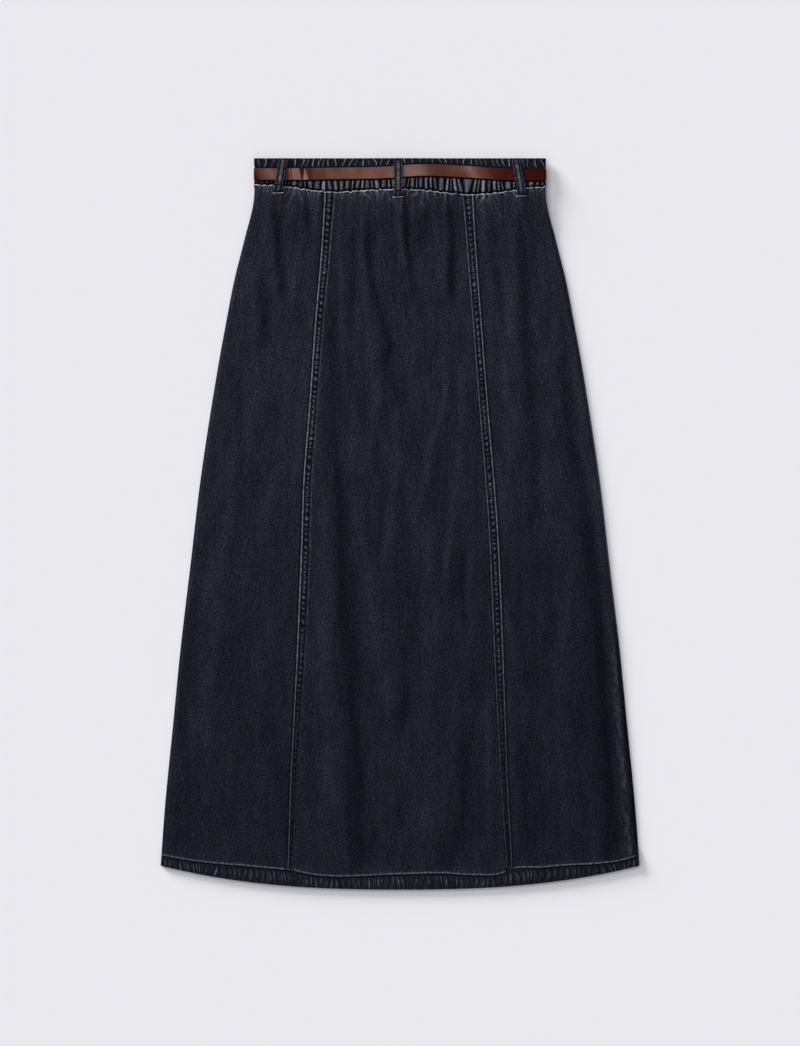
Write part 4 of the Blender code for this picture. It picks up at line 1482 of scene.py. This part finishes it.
@dataclass
class Belt:
    """The leather strap, its keeper, and the wire buckle with its prong."""

    leather: bpy.types.Material
    brass: bpy.types.Material
    width: float = 15.0 * MM
    slice_reach: int = 177
    slice_pitch: int = 3
    front_top: float = 8.0 * MM
    front_tone: float = 0.4
    keeper_tone: float = 0.45
    edge_shade: float = 0.18
    soft_bend: float = 0.22 * MM

    # Wrinkles beside the left loop: place across, reach (both mm), and height
    WRINKLES: ClassVar[tuple[tuple[float, float, float], ...]] = (
        (-129, 4.0, 0.4 * MM), (-121, 2.2, -0.4 * MM), (-115, 2.6, 0.4 * MM), (-136, 1.6, -0.3 * MM),
    )

    def refined(
        self, node: str, name: str, rounding: float, levels: int, slices: Sequence[float] = ()
    ) -> bpy.types.Object:
        """Copy a CAD node and round it off.

        Args:
            node: The CAD node's name.
            name: The new piece's name.
            rounding: Width of the rounded edges, or 0 for none.
            levels: Levels of subdivision.
            slices: Places across where the faces are split, so that they bend evenly.

        Returns:
            The copy, with its modifiers applied.
        """
        deselect_all()
        copy = bpy.data.objects[node].copy()
        copy.data = copy.data.copy()
        copy.name = copy.data.name = name
        for key in [key for key in copy.keys() if key.startswith("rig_")]:
            del copy[key]
        bpy.context.scene.collection.objects.link(copy)
        copy.select_set(True)
        bpy.context.view_layer.objects.active = copy
        bpy.ops.object.mode_set(mode="EDIT")
        bpy.ops.mesh.select_all(action="SELECT")
        bpy.ops.mesh.remove_doubles(threshold=0.00001)
        work = bmesh.from_edit_mesh(copy.data)
        for place in slices:
            parts = work.verts[:] + work.edges[:] + work.faces[:]
            plane = {"plane_co": (place, 0, 0), "plane_no": (1, 0, 0)}
            bmesh.ops.bisect_plane(work, geom=parts, dist=1e-6, **plane)
        bmesh.update_edit_mesh(copy.data)
        bpy.ops.mesh.select_all(action="SELECT")
        flat, even = math.radians(30), math.radians(60)
        bpy.ops.mesh.tris_convert_to_quads(face_threshold=flat, shape_threshold=even)
        bpy.ops.object.mode_set(mode="OBJECT")
        if rounding:
            bevel = copy.modifiers.new("edge", "BEVEL")
            bevel.width = rounding
            bevel.segments = 2
            bevel.limit_method = "ANGLE"
            bevel.angle_limit = math.radians(50)
            bpy.ops.object.modifier_apply(modifier=bevel.name)
        subdivide = copy.modifiers.new("smooth", "SUBSURF")
        subdivide.levels = subdivide.render_levels = levels
        bpy.ops.object.modifier_apply(modifier=subdivide.name)
        copy.data.shade_smooth()
        copy.data.materials.clear()
        return copy

    def strap(self) -> bpy.types.Object:
        """Make the strap, with its soft bends and its painted sheen and shade.

        Returns:
            The strap.
        """
        slices = np.arange(-self.slice_reach, self.slice_reach + 1, self.slice_pitch) * MM
        piece = self.refined("belt", "leather_strap", 0.25 * MM, 2, slices)
        mesh = piece.data
        points = np.zeros(len(mesh.vertices) * 3)
        mesh.vertices.foreach_get("co", points)
        points = points.reshape(-1, 3)
        across, along, height = points.T
        on_back = ease((height - self.front_top) / (1.5 * MM))
        offset = along - (LENGTH / 2 - follow(BELT_LINE, across))
        raised = self.soft_bend * wander(across, 46 * MM, 91) + 0.3 * MM
        crease = across / MM + 0.2 * offset / MM
        for place, reach, rise in self.WRINKLES:
            raised += rise * near(crease - place, reach)
        points[:, 2] += on_back * raised
        points[:, 1] -= on_back * 0.04 * offset
        mesh.vertices.foreach_set("co", points.ravel())
        # painted sheen and shade along the strap, with painted highlights and shade on its wrinkles
        tone = np.interp(across / MM + 0.4 * offset / MM, *zip(*BELT_SHEEN_AND_SHADE))
        down = np.clip(0.5 - offset / self.width, 0, 1)
        for left_top, left_foot, right_top, right_foot, change in BELT_WEDGES:
            left = left_top + (left_foot - left_top) * down
            right = right_top + (right_foot - right_top) * down
            tone = tone + change * ease(across / MM - left + 0.5) * ease(right - across / MM + 0.5)
        tone = tone - self.edge_shade * near(np.abs(offset) - self.width / 2, 0.5 * MM)
        tone = np.where(on_back > 0.5, tone, self.front_tone)
        layer = mesh.attributes.new("wear", "FLOAT", "POINT")
        layer.data.foreach_set("value", tone.astype(np.float32))
        mesh.update()
        mesh.materials.append(self.leather)
        return belongs(piece, Slot.LEATHER, "belt")

    def plain_tone(self, piece: bpy.types.Object, tone: float) -> None:
        """Give a leather piece one even tone."""
        layer = piece.data.attributes.new("wear", "FLOAT", "POINT")
        layer.data.foreach_set("value", np.full(len(piece.data.vertices), tone, dtype=np.float32))

    def build(self) -> None:
        """Make the strap, the keeper, the frame and the prong."""
        self.strap()
        keeper = self.refined("belt_keeper", "leather_keeper", 0.2 * MM, 2)
        self.plain_tone(keeper, self.keeper_tone)
        keeper.data.materials.append(self.leather)
        belongs(keeper, Slot.LEATHER, "belt_keeper")
        for node, name in (("belt_buckle", "buckle_frame"), ("belt_prong", "buckle_prong")):
            piece = self.refined(node, name, 0.0, 1)
            piece.data.materials.append(self.brass)
            belongs(piece, Slot.BRASS, node)


@dataclass
class BeltLoops:
    """Folded denim loops, stitched along both sides and tacked at the foot."""

    form: SkirtForm
    denim: bpy.types.Material
    width: float = 10.8 * MM
    cloth: float = 1.4 * MM
    belt_level: float = 11.1 * MM
    stitch_inset: float = 2.3 * MM
    stations: int = 72
    rounding: int = 6

    # Shares of the half width at one side's columns, from the middle out
    HALF: ClassVar[tuple[float, ...]] = (0.15, 0.3, 0.44, 0.54, 0.62, 0.7, 0.8, 0.9, 0.97, 1.0)

    def strap(
        self, name: str, course: Sequence[tuple[float, float, float]], flip: bool, seed: int
    ) -> bpy.types.Object:
        """Make one loop along its course.

        Args:
            name: The loop's name.
            course: Points of its middle line as (place across, drop, height), top first.
            flip: True where its outer face looks down.
            seed: Picks its wear.

        Returns:
            The loop, as a closed wall.
        """
        knots = np.array(course)
        spacing = np.concatenate(([0], np.cumsum(np.linalg.norm(np.diff(knots[:, 1:], axis=0), axis=1))))
        steps = np.linspace(0, spacing[-1], self.stations)
        line = np.stack([np.interp(steps, spacing, knots[:, axis]) for axis in range(3)], axis=1)
        for _ in range(self.rounding):
            line[1:-1] = (line[:-2] + 2 * line[1:-1] + line[2:]) / 4
        along = np.gradient(line, axis=0)
        along /= np.linalg.norm(along, axis=1)[:, None]
        out = np.stack((np.zeros(len(line)), -along[:, 2], along[:, 1]), axis=1)
        out = -out if flip else out
        half = np.array(self.HALF)
        shares = np.concatenate((-half[::-1], [0.0], half))
        from_edge = (1 - np.abs(shares)) * self.width / 2
        groove = near(from_edge - self.stitch_inset, 0.6 * MM)
        rib = near(from_edge - 1.1 * MM, 0.8 * MM)
        centre = near(shares, 0.42)
        body = self.cloth / 2 * (1 - 0.75 * near(from_edge, 0.35 * MM))
        rough = 0.10 * MM * np.sin(steps[:, None] / (3.4 * MM) * math.tau + seed + 2 * shares)
        padding = 0.18 * MM * rib - 0.30 * MM * groove + 0.22 * MM * centre
        lift = body + padding + rough * (0.4 + centre)
        places = line[:, None, 0] + shares * self.width / 2
        base_drop, base_height = line[:, None, 1] + 0 * shares, line[:, None, 2] + 0 * shares
        outer_drop = base_drop + out[:, None, 1] * lift
        outer_height = base_height + out[:, None, 2] * lift
        inner_drop = base_drop - out[:, None, 1] * body
        inner_height = base_height - out[:, None, 2] * body
        down = steps[:, None] / steps[-1]
        patches = 0.65 + 0.5 * wander(steps[:, None] + 0 * shares, 11 * MM, seed)
        ribs = 0.7 + 0.5 * wander(steps, 6 * MM, seed + 1)[:, None]
        wear = 0.34 * centre * patches + 0.36 * rib * ribs
        wear = wear + 0.12 * centre * near(down - 0.5, 0.22)
        # painted shade in the stitch grooves, darker along the edges and at the top end, and a painted
        # shadow at the foot
        wear = wear - 1.0 * groove - 0.5 * near(from_edge, 0.4 * MM)
        wear = wear - 0.5 * near(down, 0.03) - 0.9 * near(down - 1, 0.035)
        lie = np.stack((places, -base_drop), axis=-1)
        outer = self.form.point(places, outer_drop, outer_height)
        inner = self.form.point(places, inner_drop, inner_height)
        return wall(name, outer, inner, wear, lie, self.denim)

    def build(self) -> None:
        """Make all the loops."""
        form = self.form
        for number, (node, top, bottom, foot) in enumerate(BACK_LOOPS):
            lift = float(form.buckle_lift(np.array(top * MM)))
            over = self.belt_level + self.cloth / 2 + lift + 0.3 * MM
            cloth = form.back_height(np.array(bottom * MM), np.array((foot + 1) * MM))
            ends = float(cloth) + 0.25 * MM
            course = []
            for drop, height in (
                (0.3, over - 0.7 * MM), (1.6, over - 0.1 * MM), (5.0, over), (28.0, over),
                (foot - 8.0, over - 0.5 * MM), (foot - 3.0, ends + 1.2 * MM), (foot, ends + 0.75 * MM),
            ):
                share = float(ease(np.array(drop / foot)))
                course.append(((top + (bottom - top) * share) * MM, drop * MM, height))
            piece = self.strap(f"{node}_cloth", course, False, 100 + 7 * number)
            belongs(piece, Slot.DENIM, node)
        low = self.cloth / 2 + 0.3 * MM
        seated = form.front_casing_floor - form.gap - self.cloth / 2
        for number, (node, place) in enumerate(FRONT_LOOPS):
            course = [
                (place * MM, drop * MM, height)
                for drop, height in (
                    (1.0, seated), (8.0, seated), (11.5, low),
                    (28.0, low), (31.5, seated), (44.0, seated),
                )
            ]
            piece = self.strap(f"{node}_cloth", course, True, 130 + 7 * number)
            belongs(piece, Slot.DENIM, node)


# ---------------------------------------------------------------- stitching


@dataclass
class Stitching:
    """Rows of single stitches, each a small spindle of thread half sunk in the cloth."""

    form: SkirtForm
    thread: bpy.types.Material
    length: float = 2.5 * MM
    pitch: float = 3.1 * MM
    width: float = 0.62 * MM
    thickness: float = 0.45 * MM
    seam_foot: float = 0.872
    tack_scale: float = 1.25
    spokes: int = 6

    # Lowest and highest fading of a row's stitches
    outer_fading: tuple[float, float] = (0.22, 0.58)
    inner_fading: tuple[float, float] = (0.08, 0.40)
    hem_fading: tuple[float, float] = (0.05, 0.32)
    tack_fading: tuple[float, float] = (1.6, 2.2)

    @cached_property
    def stitch(self) -> tuple[Array, NDArray[np.int64]]:
        """One stitch, lying along +X.

        Returns:
            Its points, in shares of a stitch's size, and its quads.
        """
        spokes = self.spokes
        stations = np.array([-0.5, -0.42, -0.2, 0.2, 0.42, 0.5])
        girth = np.array([0.12, 0.62, 1.0, 1.0, 0.62, 0.12])
        along = np.repeat(stations, spokes)
        ring = np.tile(np.linspace(0, math.tau, spokes, endpoint=False), len(stations))
        thick = np.repeat(girth, spokes)
        points = np.stack((along, np.cos(ring) * thick / 2, np.sin(ring) * thick / 2), axis=1)
        last = (len(stations) - 1) * spokes
        quads = []
        for low in range(0, last, spokes):
            high = low + spokes
            for spoke in range(spokes):
                after = (spoke + 1) % spokes
                quads.append((low + spoke, low + after, high + after, high + spoke))
        # two quads close each six-sided end
        for start in (0, last):
            quads.append((start, start + 1, start + 2, start + 3))
            quads.append((start, start + 3, start + 4, start + 5))
        return points, np.array(quads)

    def row(
        self,
        name: str,
        middles: Array,
        heading: Array,
        paleness: tuple[float, float],
        seed: int,
        scale: float = 1.0,
    ) -> bpy.types.Object:
        """Make one joined row of stitches.

        Args:
            name: The row's name.
            middles: The stitches' middles.
            heading: Their directions.
            paleness: Lowest and highest fading of a stitch.
            seed: Picks the fading.
            scale: Size of these stitches against the usual one.

        Returns:
            The row.
        """
        points, quads = self.stitch
        along = heading / np.linalg.norm(heading, axis=1)[:, None]
        side = np.stack((-along[:, 1], along[:, 0], np.zeros(len(along))), axis=1)
        side /= np.linalg.norm(side, axis=1)[:, None]
        up = np.cross(along, side)
        size = np.array([self.length, self.width, self.thickness]) * scale
        local = points * size
        placed = (
            middles[:, None]
            + local[None, :, :1] * along[:, None]
            + local[None, :, 1:2] * side[:, None]
            + local[None, :, 2:] * up[:, None]
        )
        numbers = quads[None] + (np.arange(len(middles)) * len(points))[:, None, None]
        fading = np.random.default_rng(seed).uniform(*paleness, len(middles))
        wear = np.repeat(fading, len(points))
        piece = make_object(
            name, placed.reshape(-1, 3), numbers.reshape(-1, 4), {"wear": wear}, None, self.thread
        )
        return belongs(piece, Slot.THREAD)

    def along_seam(self, side: Side, from_inner: bool) -> None:
        """Stitch down a lapped strip.

        Args:
            side: Which strip.
            from_inner: True for the row along the strip's inner edge.
        """
        form = self.form
        start = float(form.seam_drop(side.value * form.lap_edge(form.seam_level, side))) + 2.5 * MM
        drop = np.arange(start, self.seam_foot, self.pitch)
        if from_inner:
            word, paleness = "inner", self.inner_fading
            inward = form.strip_width(drop) - form.inner_margin
        else:
            word, paleness = "outer", self.outer_fading
            inward = np.full(len(drop), form.fold_edge)
        across = side.value * (form.lap_edge(drop, side) - inward)
        ahead = side.value * (form.lap_edge(drop + MM, side) - inward)
        height = form.back_height(across, drop) + 0.12 * MM
        middles = form.point(across, drop, height)
        heading = form.point(ahead, drop + MM, height) - middles
        name = f"seam_stitches_{word}_{side.name.lower()}"
        self.row(name, middles, heading, paleness, 200 + side.value + 5 * from_inner)

    def build(self) -> None:
        """Make every row of stitches."""
        form = self.form
        for side in Side:
            self.along_seam(side, from_inner=False)
            self.along_seam(side, from_inner=True)
        corner = float(form.half_width(LENGTH - form.hem_rise)) - 3 * MM
        across = np.arange(-corner, corner, self.pitch)
        drop = form.hem_drop(across) - follow(HEM_DEPTH, across) - 0.7 * MM
        scale = form.half_width(drop) / form.half_width(form.hem_drop(across))
        place = across * scale
        height = form.back_height(place, drop) + 0.38 * MM
        middles = form.point(place, drop, height)
        self.row("hem_stitches", middles, np.gradient(middles, axis=0), self.hem_fading, 210)
        for number, (node, _, bottom, foot) in enumerate(BACK_LOOPS):
            self.tack(f"{node}_tack", bottom, foot, number)

    def tack(self, name: str, place: float, foot: float, number: int) -> None:
        """Sew a bar tack across the foot of a loop.

        Args:
            name: The tack's name.
            place: The loop's place across at its foot (mm).
            foot: Drop of the loop's foot (mm).
            number: Which loop this is.
        """
        form = self.form
        across = (place + np.array([-5.6, -2.0, 1.3, 4.6])) * MM
        drop = (foot + 1.5 + 0.25 * np.array([1, -1, 0, -1])) * MM
        height = form.back_height(across, drop) + 0.45 * MM
        heading = np.tile((1.0, 0.05, 0.0), (len(across), 1))
        middles = form.point(across, drop, height)
        self.row(name, middles, heading, self.tack_fading, 220 + number, self.tack_scale)


# ---------------------------------------------------------------- studio


@dataclass
class Studio:
    """A pale paper floor, one soft key light from the upper left, and a camera straight above."""

    frame_height: float = 1.2878
    camera_height: float = 16.0
    camera_shift: float = 1.2 * MM
    sensor: float = 36.0
    key_share: float = 0.37
    key_height: float = 15.0
    key_spread: float = 20.0
    top_share: float = 0.37
    top_height: float = 64.0
    top_spread: float = 60.0
    fill_share: float = 0.27
    fill_colour: tuple[float, float, float, float] = (0.97, 0.98, 1.0, 1.0)
    floor_size: float = 9.0
    floor_drop: float = 0.2 * MM

    def sun(self, name: str, share: float, height: float, spread: float) -> None:
        """Add a soft far light from the upper left.

        Args:
            name: The light's name.
            share: Its share of the light on the floor.
            height: How high it stands, in degrees.
            spread: How wide it looks from the floor, in degrees.
        """
        light = bpy.data.lights.new(name, "SUN")
        light.energy = share * math.pi / math.sin(math.radians(height))
        light.angle = math.radians(spread)
        holder = bpy.data.objects.new(name, light)
        level = math.cos(math.radians(height)) * math.sqrt(0.5)
        shining = Vector((level, -level, -math.sin(math.radians(height))))
        holder.rotation_euler = shining.to_track_quat("-Z", "Y").to_euler()
        bpy.context.scene.collection.objects.link(holder)

    def build(self) -> None:
        """Make the floor, the lights and the camera."""
        deselect_all()
        bpy.ops.mesh.primitive_plane_add(size=self.floor_size, location=(0.0, 0.0, -self.floor_drop))
        floor = bpy.context.object
        floor.name = "paper_floor"
        floor.data.materials.append(PaperFloor().material())
        bpy.ops.object.transform_apply(location=True, rotation=True, scale=True)
        self.sun("raking_key", self.key_share, self.key_height, self.key_spread)
        self.sun("overhead_softbox", self.top_share, self.top_height, self.top_spread)
        world = bpy.data.worlds.new("studio")
        world.use_nodes = True
        fill = world.node_tree.nodes["Background"]
        fill.inputs["Color"].default_value = self.fill_colour
        fill.inputs["Strength"].default_value = self.fill_share
        bpy.context.scene.world = world
        bpy.context.scene.view_settings.view_transform = "Standard"
        camera = bpy.data.cameras.new("above")
        camera.sensor_width = self.sensor
        camera.lens = self.sensor / 2 / (self.frame_height / 2 / self.camera_height)
        camera_object = bpy.data.objects.new("above", camera)
        camera_object.location = (0.0, self.camera_shift, self.camera_height)
        bpy.context.scene.collection.objects.link(camera_object)
        bpy.context.scene.camera = camera_object


# ---------------------------------------------------------------- the whole skirt


def main() -> None:
    """Build the skirt and its studio."""
    logging.basicConfig(level=logging.INFO, format="%(name)s %(message)s")
    denim, thread = WashedDenim().material(), WornThread().material()
    leather, brass = WaxedLeather().material(), AgedBrass().material()
    form = SkirtForm()
    panels = BackPanels(form, denim).build()
    strips = LappedStrips(form, denim)
    band = Waistband(form, denim)
    extras = {
        "strip_left": strips.build(Side.LEFT),
        "strip_right": strips.build(Side.RIGHT),
        "hem": BackHem(form, denim).build(),
        "front": FrontPanel(form, denim).build(),
        "band_back": band.back(),
        "band_front": band.front(),
    }
    BeltLoops(form, denim).build()
    Belt(leather, brass).build()
    Stitching(form, thread).build()
    Studio().build()


if __name__ == "__main__":
    main()
